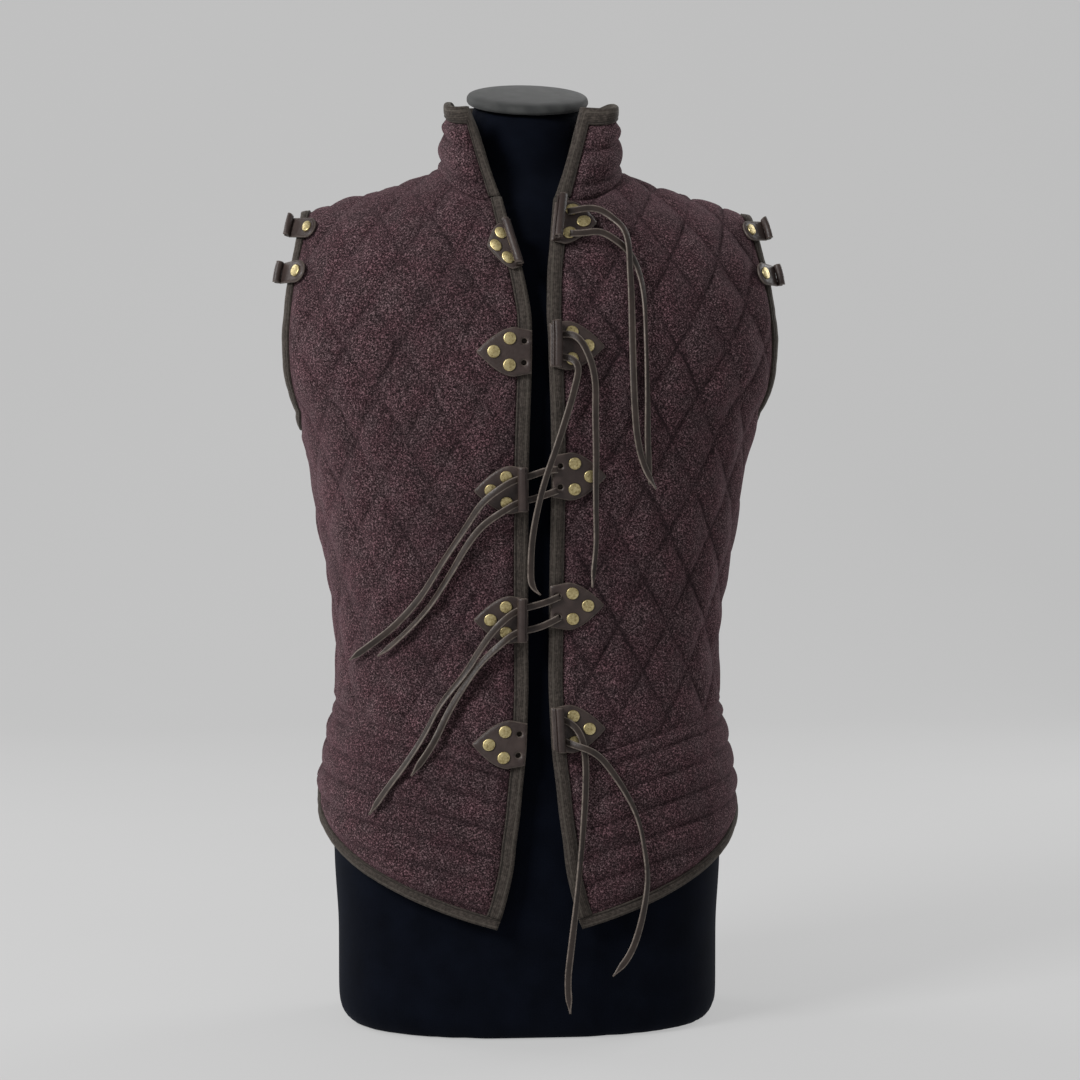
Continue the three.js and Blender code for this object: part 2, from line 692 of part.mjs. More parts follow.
function skirtHalf(face, from) {
  const side = sideSeam(face, WAIST.side) - SEAM / 2;
  const down = (s) => face.waistSeam(s) - face.hem(s) - BINDING.hem - 1.5 * SEAM;
  const seamAt = (d) => sideSeam(face, face.waistSeam(side) - d) - SEAM / 2;
  const sides = range(SEAM / 2, down(side), 4).map((d) => [seamAt(d), d]);
  const top = range(from(SEAM / 2), sides[0][0], 10).map((s) => [s, SEAM / 2]);
  const hem = range(sides[4][0], from(down(from(110))), 12).map((s) => [s, down(s)]);
  return [...top, ...sides.slice(1, -1), ...hem];
}

function skirtPanel(face, outline) {
  return cutPiece({
    outline,
    step: [26, CHANNEL / 2],
    place: skirtPlace(face),
    outside: padded(outline, channels),
  });
}

function frontSkirtOutline() {
  const from = (down) => frontEdge(FRONT.waistSeam(20) - down) + BINDING.front + SEAM;
  const outline = skirtHalf(FRONT, from);
  const lowest = outline[outline.length - 1][1];
  const edge = range(lowest, SEAM / 2, 8).slice(1, -1).map((down) => [from(down), down]);
  return [...outline, ...edge].reverse();
}

function backSkirtOutline() {
  const half = skirtHalf(BACK, () => 0).reverse();
  return [...half, ...mirrored(half).slice(1, -1)];
}

const rightSkirt = frontSkirtOutline();
add("skirt_right", skirtPanel(FRONT, rightSkirt), wool);
add("skirt_left", skirtPanel(FRONT, mirrored(rightSkirt)), wool);
add("skirt_back", skirtPanel(BACK, backSkirtOutline()), wool);

// ---- collar: s along the neckline from the centre back, t up the stand ----

function neckCurve() {
  const back = neckline(BACK, 0).map(([s, t]) => evenPoint(BACK, s, t));
  const frontLine = neckline(FRONT, frontEdge(FRONT_NECK_UP)).reverse();
  const front = frontLine.map(([s, t]) => evenPoint(FRONT, s, t));
  return new THREE.CatmullRomCurve3([...back, ...front.slice(1)], false, "centripetal");
}

const neckLine = neckCurve();
const NECK_HALF = neckLine.getLength();

// The stand leans back and outwards near its front ends.
function collarLean(s) {
  const k = Math.max((Math.abs(s) - NECK_HALF) / COLLAR_LEAN.reach + 1, 0) ** 1.6;
  const x = mix(-COLLAR_LEAN.inwards * Math.min(Math.abs(s) / 100, 1), COLLAR_LEAN.x, k);
  const lean = new THREE.Vector3(x, mix(COLLAR_LEAN.backwards, COLLAR_LEAN.y, k), 1).normalize();
  return lean.multiplyScalar(1 + COLLAR.frontRise * k);
}

function collarPoint(s, up) {
  const k = THREE.MathUtils.clamp(Math.abs(s) / NECK_HALF, 0, 1);
  const foot = neckLine.getPointAt(k);
  const point = foot.clone().addScaledVector(collarLean(s), up);
  const side = s < 0 ? -1 : 1;
  point.x = side * point.x - (foot.y < 0 ? neckSwing(foot.x, foot.z) : 0);
  return point;
}

const collarPlace = (s, up, lift) => lifted(collarPoint, s, up, lift, -1, 0);

const COLLAR_EASE = 1.3; // gap under the collar's binding, where the cloth curves most
const NECK_EASE = 1.2; // room over the body's padding, which rises away from the neckline

// How high the collar starts, so that it sits on the body's cloth, which is as thick as given.
function collarStart(s, thickness) {
  const k = THREE.MathUtils.clamp(Math.abs(s) / NECK_HALF, 0, 1);
  const along = neckLine.getTangentAt(k);
  const stand = collarLean(s).normalize();
  const bodySlope = Math.abs(s) < NECK_HALF - 30 ? 1 : mix(1, 0.45, (Math.abs(s) - NECK_HALF + 30) / 30);
  const square = Math.sqrt(1 - along.dot(stand) ** 2);
  return SEAM + (thickness * bodySlope) / square;
}

function collarPattern(s, up) {
  const { lowLine, highLine, height } = COLLAR;
  if (up < lowLine) return pillow(up / lowLine) ** 0.7 * 0.8;
  if (up < highLine) return pillow((up - lowLine) / (highLine - lowLine)) ** 0.7 * 1.25;
  const top = height - BINDING.collar;
  return pillow(Math.min((up - highLine) / (top - highLine), 1)) ** 0.7;
}

function collarOutline() {
  const end = NECK_HALF - BINDING.collar - SEAM;
  const top = COLLAR.height - BINDING.collar - COLLAR_EASE;
  const foot = range(0, end, 12).map((s) => [s, collarStart(s, CLOTH + NECK_EASE)]);
  const half = [...foot, [end, top], [0, top]];
  return [...half, ...mirrored(half).slice(1, -1)];
}

const collarCut = collarOutline();
add("collar", cutPiece({
  outline: collarCut,
  step: [20, 7.25],
  place: collarPlace,
  outside: padded(collarCut, collarPattern),
}), wool);

// ---- bindings ----

// A strip between the outer and inner edges of a list of rails, with the folded binding's section.
function strip(rails, endToStart = false) {
  const loops = rails.map(({ place, outer, inner }) => BINDING_SECTION.map(([across, lift]) => {
    const s = mix(outer[0], inner[0], across);
    const t = mix(outer[1], inner[1], across);
    return place(s, t, lift);
  }));
  return loft(loops, endToStart);
}

function flipped(rails) {
  return rails.map(({ place, outer, inner }) => ({
    place,
    outer: [-outer[0], outer[1]],
    inner: [-inner[0], inner[1]],
  }));
}

// Front edge from above the hem's strip to the neckline.
function frontRails() {
  const place = worn(FRONT);
  const start = FRONT.hem(frontEdge(110)) + BINDING.hem + SEAM;
  return range(start, FRONT_NECK_UP - SEAM / 2, 30).map((t) => {
    const s = frontEdge(t);
    const k = (start + 60 - t) / 60;
    const rise = Math.max(k, 0) * (FRONT.hem(s + BINDING.front) - FRONT.hem(s));
    return { place, outer: [s, t], inner: [s + BINDING.front, t + rise] };
  });
}

// Hem from one front point, round the back, to the other.
function hemRails() {
  const rails = (face, from, count) => {
    const side = sideSeam(face, HEM.side);
    return range(from, side, count).map((s) => ({
      place: worn(face),
      outer: [s, face.hem(s)],
      inner: [s, face.hem(s) + BINDING.hem],
    }));
  };
  const front = rails(FRONT, frontEdge(100), 12);
  const back = rails(BACK, 0, 14).reverse().slice(1);
  const half = [...front, ...back];
  return [...half, ...flipped(half).reverse().slice(1)];
}

function armholeRails() {
  const rails = (face) => armholeEdge(face).map((pair) => ({ place: worn(face), ...pair }));
  return [...rails(FRONT), ...rails(BACK).reverse().slice(1, -1)];
}

// Collar edge: up the front end, along the top and down the other end, mitred at the corners.
function collarRails() {
  const { height } = COLLAR;
  const width = BINDING.collar;
  const place = collarPlace;
  const foot = collarStart(NECK_HALF, BINDING_HEIGHT);
  const ends = range(foot, height - width - 4, 4).map((t) => ({
    place,
    outer: [NECK_HALF, t],
    inner: [NECK_HALF - width, t],
  }));
  const corner = { place, outer: [NECK_HALF, height], inner: [NECK_HALF - width, height - width] };
  const top = range(NECK_HALF - width - 4, 0, 12).map((s) => ({
    place,
    outer: [s, height],
    inner: [s, height - width],
  }));
  const half = [...ends, corner, ...top];
  return [...half, ...flipped(half).reverse().slice(1)];
}

const frontStrip = frontRails();
const armholeStrip = armholeRails();
add("binding_front_right", strip(frontStrip), twill);
add("binding_front_left", strip(flipped(frontStrip)), twill);
add("binding_hem", strip(hemRails()), twill);
add("binding_armhole_right", strip(armholeStrip, true), twill);
add("binding_armhole_left", strip(flipped(armholeStrip), true), twill);
add("binding_collar", strip(collarRails()), twill);

// ---- leather tabs ----

function circle(centre, radius, sides) {
  return counted(sides - 1).map((i) => {
    const angle = (i / sides) * 2 * Math.PI;
    return [centre[0] + radius * Math.cos(angle), centre[1] + radius * Math.sin(angle)];
  });
}

// A rivet head standing on a tab, narrower at its top.
function rivet(place, centre) {
  const base = TAB_LIFT + TAB_THICKNESS;
  const rings = [[RIVET.radius, base - TAB_THICKNESS / 2], [RIVET.radius * 0.72, base + RIVET.rise]];
  return loft(rings.map(([radius, lift]) => {
    return circle(centre, radius, RIVET.sides).map(([out, up]) => place(out, up, lift));
  }));
}

// The end of a tab turned back into a roll along the edge, held clear of the tab by walls of leather.
function roll(place, { out, radius, halfLength, clear, walls }) {
  const base = TAB_LIFT + TAB_THICKNESS;
  const middle = base + clear + radius;
  const bar = loft([-halfLength, 0, halfLength].map((up) => {
    return circle([out, middle], radius, 8).map(([across, lift]) => place(across, up, lift));
  }));
  const posts = walls.map((up) => {
    const section = [[out - 2, base - 1], [out + 2, base - 1], [out + 2, middle], [out - 2, middle]];
    return loft([up - ROLL_WALL / 2, up + ROLL_WALL / 2].map((at) => {
      return section.map(([across, lift]) => place(across, at, lift));
    }));
  });
  return [bar, ...posts];
}

function tab({ outline, eyelets = [], rivets, fold, cell, place }) {
  const plate = cutPiece({
    outline,
    holes: eyelets.map((centre) => circle(centre, EYELET, 6)),
    step: [cell, cell],
    place,
    inside: () => TAB_LIFT,
    outside: () => TAB_LIFT + TAB_THICKNESS,
  });
  const fixings = rivets.map((centre) => rivet(place, centre));
  return joined(plate, ...fixings, ...(fold ? roll(place, fold) : []));
}

// A pointed clasp on one front edge, at the given height.
function clasp(side, height, rolled, reach) {
  const middle = upAtHeight(FRONT, frontEdge(height), height);
  const place = (out, up, lift) => {
    const t = middle + up;
    return worn(FRONT)(side * (frontEdge(t) + out), t, lift);
  };
  const { edgeHalf, halfHeight, shoulder, length, cell } = CLASP;
  const shortened = ([out, up]) => [out * reach, up];
  const below = [[1, -edgeHalf], [shoulder, -halfHeight], [mix(shoulder, length, 0.55), -halfHeight * 0.52]];
  const above = below.map(([out, up]) => [out, -up]).reverse();
  const outline = [...below, [length, -1], [length, 1], ...above].map(shortened);
  const fold = { ...CLASP_ROLL, out: CLASP_ROLL.out * reach };
  const inner = rolled ? { fold } : { eyelets: CLASP_EYELETS };
  return tab({ outline, rivets: CLASP_RIVETS.map(shortened), cell, place, ...inner });
}

for (const { number, left, right, leftRolled, rightRolled } of CLASPS) {
  const leftReach = SHORT_CLASPS[`left_${number}`] ?? 1;
  const rightReach = SHORT_CLASPS[`right_${number}`] ?? 1;
  add(`clasp_left_${number}`, clasp(-1, left, leftRolled, leftReach), leather);
  add(`clasp_right_${number}`, clasp(1, right, rightRolled, rightReach), leather);
}

// A rounded tab over the armhole's edge, for tying on a sleeve.
function sleeveTab(side, along) {
  const edge = armholeEdge(FRONT);
  const { outer, inner } = edge[Math.round(along * (edge.length - 1))];
  const inward = new THREE.Vector2(inner[0] - outer[0], inner[1] - outer[1]).normalize();
  const place = (out, up, lift) => {
    const s = outer[0] + inward.x * out + inward.y * up;
    const t = outer[1] + inward.y * out - inward.x * up;
    return worn(FRONT)(side * s, t, lift);
  };
  const { halfWidth, length, rivet: rivetOut, cell } = SLEEVE_TAB;
  const round = range(-90, 90, 4).map((degrees) => {
    const angle = THREE.MathUtils.degToRad(degrees);
    return [length + halfWidth * (Math.cos(angle) - 1), halfWidth * Math.sin(angle)];
  });
  const outline = [[-6, 1 - halfWidth], ...round, [-6, halfWidth - 1]];
  return tab({ outline, rivets: [[rivetOut, 0]], fold: SLEEVE_ROLL, cell, place });
}

for (const { name, along } of SLEEVE_TABS) {
  add(`sleeve_tab_${name}_right`, sleeveTab(1, along), leather);
  add(`sleeve_tab_${name}_left`, sleeveTab(-1, along), leather);
}

// ---- laces ----

const laceRing = circle([0, 0], LACE.radius, 8);
const laceSection = new THREE.Shape(laceRing.map(([a, b]) => new THREE.Vector2(a, b)));

function lace(rows) {
  const route = new THREE.CatmullRomCurve3(rows.map((row) => worn(FRONT)(...row)), false, "centripetal");
  const steps = Math.round(route.getLength() / LACE.step);
  return new THREE.ExtrudeGeometry(laceSection, { steps, extrudePath: route });
}

for (const [name, rows] of Object.entries(LACES)) add(name, lace(rows), lacing);

// ---- dress form ----

const FORM = { inset: 9, ridgeDrop: 11, shoulder: 188, quarter: 6, foot: 0.95 };
const FORM_LEVELS = [0, 24, 90, 180, 250, 320, 400, 470, 545];
const FORM_CLIMB = [18, 36, 54, 72, 90]; // degrees up the chest to shoulder curve
const NECK_RINGS = [
  { height: 680, y: -12, radius: 68, tilt: 0 },
  { height: 735, y: -9, radius: 58, tilt: 0.1 },
  { height: 775, y: -6, radius: 53, tilt: 0.22 },
  { height: 821, y: -5, radius: 51, tilt: 0.3 },
];
const NECK_SIDES = 18;
const CAP = [
  { rise: 0.3, radius: 53 },
  { rise: 4.5, radius: 54.5 },
  { rise: 9, radius: 52 },
  { rise: 11.5, radius: 38 },
];

// One point of the form: level rings first, then the climb to the shoulder line at the given degrees.
function formPoint(face, side, part, level, degrees) {
  const height = Math.max(level, SECTIONS[0].height);
  const [x, depth] = sectionPoint(face, height, (part * Math.PI) / 2);
  const foot = level === 0 ? FORM.foot : 1;
  const formX = x * (1 - FORM.inset / widthAt(height)) * foot;
  const formY = part === 1 ? 0 : (depth * (1 - FORM.inset / face.depthAt(height))) * foot;
  const up = THREE.MathUtils.degToRad(degrees);
  const ridgeX = (x / widthAt(height)) * FORM.shoulder;
  const k = degrees === 90 ? 1 : power(Math.sin(up), 2 / CROWN);
  const y = degrees === 90 ? 0 : face.sign * formY * power(Math.cos(up), 2 / CROWN);
  const rise = ridgeHeight(ridgeX) - FORM.ridgeDrop - level;
  return new THREE.Vector3(side * mix(formX, ridgeX, k * k), y, level + (degrees > 0 ? rise * k : 0));
}

function formRing(level, degrees) {
  const quarter = (face, side) => counted(FORM.quarter).map((i) => {
    return formPoint(face, side, i / FORM.quarter, level, degrees);
  });
  return [
    ...quarter(FRONT, 1),
    ...quarter(BACK, 1).reverse().slice(1),
    ...quarter(BACK, -1).slice(1),
    ...quarter(FRONT, -1).reverse().slice(1, -1),
  ];
}

function neckRing({ height, y, radius, tilt }) {
  return circle([0, y], radius, NECK_SIDES).map(([a, b]) => new THREE.Vector3(a, b, height + tilt * (b - y)));
}

const trunk = loft([
  ...FORM_LEVELS.map((level) => formRing(level, 0)),
  ...FORM_CLIMB.map((degrees) => formRing(CHEST, degrees)),
], false, true);
add("form_torso", joined(trunk, loft(NECK_RINGS.map(neckRing))), jersey);

const neckTop = NECK_RINGS[NECK_RINGS.length - 1];
add("form_cap", loft(CAP.map(({ rise, radius }) => {
  return neckRing({ ...neckTop, height: neckTop.height + rise, radius });
})), capCloth);

export default object;
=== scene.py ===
"""Quilted wool vest on a dress form: the looks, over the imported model."""

import math

import bmesh
import bpy
import numpy as np
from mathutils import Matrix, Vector
from mathutils.geometry import delaunay_2d_cdt


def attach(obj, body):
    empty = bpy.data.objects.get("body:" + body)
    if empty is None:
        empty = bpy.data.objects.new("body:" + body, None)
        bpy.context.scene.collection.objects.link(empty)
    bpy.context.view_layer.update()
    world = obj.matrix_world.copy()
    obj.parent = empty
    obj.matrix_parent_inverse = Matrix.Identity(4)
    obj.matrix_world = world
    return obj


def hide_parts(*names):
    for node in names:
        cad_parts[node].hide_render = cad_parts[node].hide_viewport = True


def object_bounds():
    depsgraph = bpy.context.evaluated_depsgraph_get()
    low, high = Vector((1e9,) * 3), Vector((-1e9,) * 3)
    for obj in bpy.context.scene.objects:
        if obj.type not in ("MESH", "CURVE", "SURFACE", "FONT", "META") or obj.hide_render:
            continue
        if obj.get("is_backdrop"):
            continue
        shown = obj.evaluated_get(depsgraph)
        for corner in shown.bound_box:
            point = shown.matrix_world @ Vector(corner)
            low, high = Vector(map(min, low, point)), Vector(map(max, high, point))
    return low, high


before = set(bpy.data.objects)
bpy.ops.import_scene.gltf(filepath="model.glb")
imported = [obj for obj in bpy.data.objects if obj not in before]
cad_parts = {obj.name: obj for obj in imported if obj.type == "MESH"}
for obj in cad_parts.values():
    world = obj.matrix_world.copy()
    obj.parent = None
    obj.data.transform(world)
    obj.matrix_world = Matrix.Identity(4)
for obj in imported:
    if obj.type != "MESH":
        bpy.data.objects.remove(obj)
cad_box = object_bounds()

# ---- sizes, in millimetres as in the part's source ----

METRE = 0.001
CLOTH = 3.6
PUFF = 4.2
PUFF_EDGE = 9
DIAMOND = (46, 80)
CHANNEL = 24
ROUNDNESS = 2.45
CROWN = 2.2
CHEST = 545
ARMPIT = 538
TIP, RIDGE_HEIGHT, RIDGE_SLOPE = 202, 718, 0.28
NECK_RISE, NECK_AT, NECK_BLEND = 12, 78, 7
FLARE, FLARE_SHAPE = 20, 6.75
WAIST = {"front": 232, "side": 288, "back": 276}
HEM = {"front": 91, "side": 203, "back": 167}
NECK = {"side": 74, "front": 727, "back": 762, "corner": 5}
BIND = {"front": 12, "hem": 10, "armhole": 9, "collar": 12}
NECK_SWING = {"out": 9, "low": 600, "high": 750}
COLLAR = {"height": 64, "low": 11.5, "high": 35, "rise": 0.45}
LEAN = {"x": 0.37, "y": 0.36, "reach": 130, "backwards": 0.06, "inwards": 0.16}
TAB_LIFT, TAB_THICK = 8.4, 2.4
LACE_WIDTH, LACE_THICK = 5.8, 1.5
STITCH_LINE = 16.0  # along a binding's profile

SECTIONS = [  # height, half width, depth before and behind the side seams
    (90, 180, 131, 118), (160, 184, 131, 124), (205, 183, 129, 124), (250, 176, 125, 116),
    (300, 168, 119, 104), (350, 168, 118, 98), (415, 177, 123, 101), (460, 185, 129, 108),
    (500, 191, 134, 115), (545, 204, 138, 120),
]
FRONT_EDGE = [  # up the cloth, out from the centre front
    (90, 40), (131, 27), (175, 20), (222, 14.5), (275, 10), (350, 9), (510, 9.5), (605, 7),
    (647, 8.5), (691, 15.5), (733, 22.5), (790, 31),
]
ARMHOLE_EDGE = [  # up from the armpit, in from the side seam at the front and at the back
    (0, 0, 0), (4, 22, 21), (20, 40, 37), (48, 50, 45), (88, 53, 46), (130, 51, 43),
]
CLASPS = [  # number, heights left and right, which of them is rolled
    (1, 683, 704, True, True), (2, 594, 600, False, True), (3, 478, 489, True, False),
    (4, 366, 377, True, False), (5, 259, 272, False, True),
]
SHORT_CLASPS = {"left_1": 0.58, "right_1": 0.75}
RNG = np.random.default_rng(7)


# ---- camera ----

def place_camera():
    """At the photograph's angle, slightly from the left and above."""
    distance, yaw, pitch = 2.4, math.radians(5), math.radians(2)
    aim = Vector((0, 0, 0.43))
    away = Vector((-math.sin(yaw), -math.cos(yaw), math.tan(pitch)))
    right = Vector((math.cos(yaw), -math.sin(yaw), 0))
    aside = right * 0.0118
    data = bpy.data.cameras.new("camera")
    data.sensor_width = 36
    data.lens = 88.4
    camera = bpy.data.objects.new("camera", data)
    camera.location = aim + away * distance + aside
    camera.rotation_euler = (-away).to_track_quat("-Z", "Y").to_euler()
    bpy.context.scene.collection.objects.link(camera)
    bpy.context.scene.camera = camera


place_camera()


# ---- small maths ----

def mix(a, b, k):
    return a + (b - a) * k


def smooth(x, low, high):
    k = np.clip((np.asarray(x, float) - low) / (high - low), 0, 1)
    return k * k * (3 - 2 * k)


def power(value, exponent):
    return np.maximum(value, 0) ** exponent


def curve_through(rows):
    """A smooth curve through (at, value) rows, level beyond its ends."""
    at, y = np.array(rows, float).T
    low = np.maximum(np.arange(len(at)) - 1, 0)
    high = np.minimum(np.arange(len(at)) + 1, len(at) - 1)
    slope = (y[high] - y[low]) / (at[high] - at[low])

    def value(x):
        i = np.clip(np.searchsorted(at, x, side="right") - 1, 0, len(at) - 2)
        width = at[i + 1] - at[i]
        k = np.clip((x - at[i]) / width, 0, 1)
        start = y[i] + slope[i] * width * k
        end = y[i + 1] - slope[i + 1] * width * (1 - k)
        return mix(start, end, k * k * (3 - 2 * k))
    return value


def unit(vectors):
    return vectors / np.linalg.norm(vectors, axis=-1, keepdims=True)


def reach_along(points):
    """How far along a chain of points each one is."""
    return np.concatenate([[0], np.cumsum(np.linalg.norm(np.diff(points, axis=0), axis=1))])


def bowed(k, slope):
    return slope * k + (1 - slope) * k * k


def bilinear(table, row, column):
    row = np.clip(row, 0, table.shape[0] - 1.0001)
    column = np.clip(column, 0, table.shape[1] - 1.0001)
    i, j = row.astype(int), column.astype(int)
    a, b = row - i, column - j
    low = mix(table[i, j], table[i, j + 1], b)
    return mix(low, mix(table[i + 1, j], table[i + 1, j + 1], b), a)


def ripple(seed, size, count=14):
    """Smooth noise about 1 high, its waves about as long as size."""
    rng = np.random.default_rng(seed)
    angle = rng.uniform(0, 2 * math.pi, count)
    wave = 2 * math.pi / (size * rng.uniform(0.7, 1.6, count))
    phase = rng.uniform(0, 2 * math.pi, count)

    def value(s, t):
        total = 0
        for a, w, p in zip(angle, wave, phase):
            total = total + np.sin(w * (np.cos(a) * s + np.sin(a) * t) + p)
        return total / math.sqrt(count)
    return value


# ---- the worn surface, as in the part's source ----

width_at = curve_through([(h, w) for h, w, _, _ in SECTIONS])
QUARTER = np.linspace(0, math.pi / 2, 181)
LEVEL_STEP, COLUMN_STEP, SHARES = 5.0, 2.0, 400  # of the tables of arc lengths
LEVELS = np.arange(SECTIONS[0][0], CHEST + 1, LEVEL_STEP)
FRACTIONS = np.linspace(0, 1, SHARES + 1)


def ridge_height(x):
    rise = NECK_RISE / (1 + np.exp((x - NECK_AT) / NECK_BLEND))
    return RIDGE_HEIGHT + (TIP - x) * RIDGE_SLOPE + rise


def arc_angles(x, y):
    """The quarter's angle at each fraction of a curve's length, and the length."""
    reach = reach_along(np.column_stack([x, y]))
    return np.interp(FRACTIONS * reach[-1], reach, QUARTER), reach[-1]


def neck_swing(x, height):
    near = power(1 - (x / NECK["side"]) ** 2, 1) ** 2
    return NECK_SWING["out"] * near * smooth(height, NECK_SWING["low"], NECK_SWING["high"])


class Face:
    """The front or the back of the vest's inside."""

    def __init__(self, sign, name, depth_column, tip_inset, seam_bow, hem_bow, neck_corner):
        self.sign, self.name, self.tip_inset = sign, name, tip_inset
        self.seam_bow, self.hem_bow, self.neck_corner = seam_bow, hem_bow, neck_corner
        self.depth_at = curve_through([(row[0], row[depth_column]) for row in SECTIONS])
        rows = []
        for level in LEVELS:
            x = width_at(level) * power(np.sin(QUARTER), 2 / ROUNDNESS)
            y = self.depth_at(level) * power(np.cos(QUARTER), 2 / ROUNDNESS)
            rows.append(arc_angles(x, y))
        self.angles = np.array([row[0] for row in rows])
        self.sides = np.array([row[1] for row in rows])
        self.tip_across = self.sides[-1] - tip_inset
        self.columns = np.arange(0, 301, COLUMN_STEP)
        climbs = []
        for s in self.columns:
            _, depth = self.section(np.array([float(CHEST)]), np.array([s]))
            rise = ridge_height(s * TIP / self.tip_across) - CHEST
            y = depth * power(np.cos(QUARTER), 2 / CROWN)
            z = rise * power(np.sin(QUARTER), 2 / CROWN)
            climbs.append(arc_angles(y, z))
        self.climb_angles = np.array([row[0] for row in climbs])
        self.climb_lengths = np.array([row[1] for row in climbs])

    def side_seam(self, height):
        return np.interp(height, LEVELS, self.sides)

    def section(self, level, reach):
        row = (level - LEVELS[0]) / LEVEL_STEP
        fraction = np.clip(reach / self.side_seam(level), 0, 1)
        angle = bilinear(self.angles, row, fraction * SHARES)
        x = width_at(level) * power(np.sin(angle), 2 / ROUNDNESS)
        return x, self.depth_at(level) * power(np.cos(angle), 2 / ROUNDNESS)

    def shoulder_seam(self, s):
        return CHEST + np.interp(np.abs(s), self.columns, self.climb_lengths)

    def across_at_ridge(self, x):
        return x * self.tip_across / TIP

    def up_at_height(self, s, height):
        reach = np.abs(s)
        rise = ridge_height(reach * TIP / self.tip_across) - CHEST
        angle = np.arcsin(np.clip((height - CHEST) / rise, 0, 1) ** (CROWN / 2))
        column = np.clip(np.rint(reach / COLUMN_STEP).astype(int), 0, len(self.columns) - 1)
        fraction = np.interp(angle, self.climb_angles[column], FRACTIONS)
        return CHEST + fraction * np.interp(reach, self.columns, self.climb_lengths)

    def waist_seam(self, s):
        k = np.abs(s) / self.side_seam(WAIST["side"])
        return mix(WAIST[self.name], WAIST["side"], bowed(k, self.seam_bow))

    def hem(self, s):
        k = np.abs(s) / self.side_seam(HEM["side"])
        return mix(HEM[self.name], HEM["side"], bowed(k, self.hem_bow))

    def neck_up(self, s):
        x = s * TIP / self.tip_across
        side = ridge_height(NECK["side"])
        height = mix(NECK[self.name], side, np.clip(x / NECK["side"], 0, 1) ** self.neck_corner)
        return float(self.up_at_height(np.array(s), height))

    def even(self, s, t):
        s, t = np.broadcast_arrays(np.asarray(s, float), np.asarray(t, float))
        side, reach = np.where(s < 0, -1, 1), np.abs(s)
        x, depth = self.section(np.clip(t, LEVELS[0], CHEST), reach)
        ridge_x = reach * TIP / self.tip_across
        rise = ridge_height(ridge_x) - CHEST
        length = np.interp(reach, self.columns, self.climb_lengths)
        k = np.clip((t - CHEST) / length, 0, 1)
        angle = bilinear(self.climb_angles, reach / COLUMN_STEP, k * SHARES)
        flare = FLARE * (x / width_at(CHEST)) ** 2 * FLARE_SHAPE * k * (1 - k) ** 2
        above = t > CHEST
        out = np.where(above, mix(x, ridge_x, k * k) + flare, x)
        deep = np.where(above, depth * power(np.cos(angle), 2 / CROWN), depth)
        high = np.where(above, CHEST + rise * power(np.sin(angle), 2 / CROWN), t)
        return np.stack([side * out, self.sign * deep, high], -1)

    def surface(self, s, t):
        """The same with the front's opening hanging to one side."""
        point = self.even(s, t)
        if self.sign < 0:
            point[..., 0] -= neck_swing(point[..., 0], point[..., 2])
        return point

    def worn(self, s, t, lift):
        side = self.side_seam(t)
        s = np.clip(s, -side, side)
        tilt = smooth(t, CHEST, CHEST + 60)
        return lifted(self.surface, s, t, lift, -self.sign, tilt)


def lifted(surface, s, t, lift, turn, tilt):
    across = surface(s + 1, t) - surface(s - 1, t)
    up = surface(s, t + 1) - surface(s, t - 1)
    normal = unit(np.cross(across, up) * turn)
    normal[..., 2] *= tilt
    return surface(s, t) + unit(normal) * np.asarray(lift)[..., None]


FRONT = Face(-1, "front", 2, 50, 1.5, 0.45, NECK["corner"])
BACK = Face(1, "back", 3, 43, 0, 0, 2)
front_edge = curve_through(FRONT_EDGE)


# ---- laces, from their clasps to their free ends: across, up, lift ----

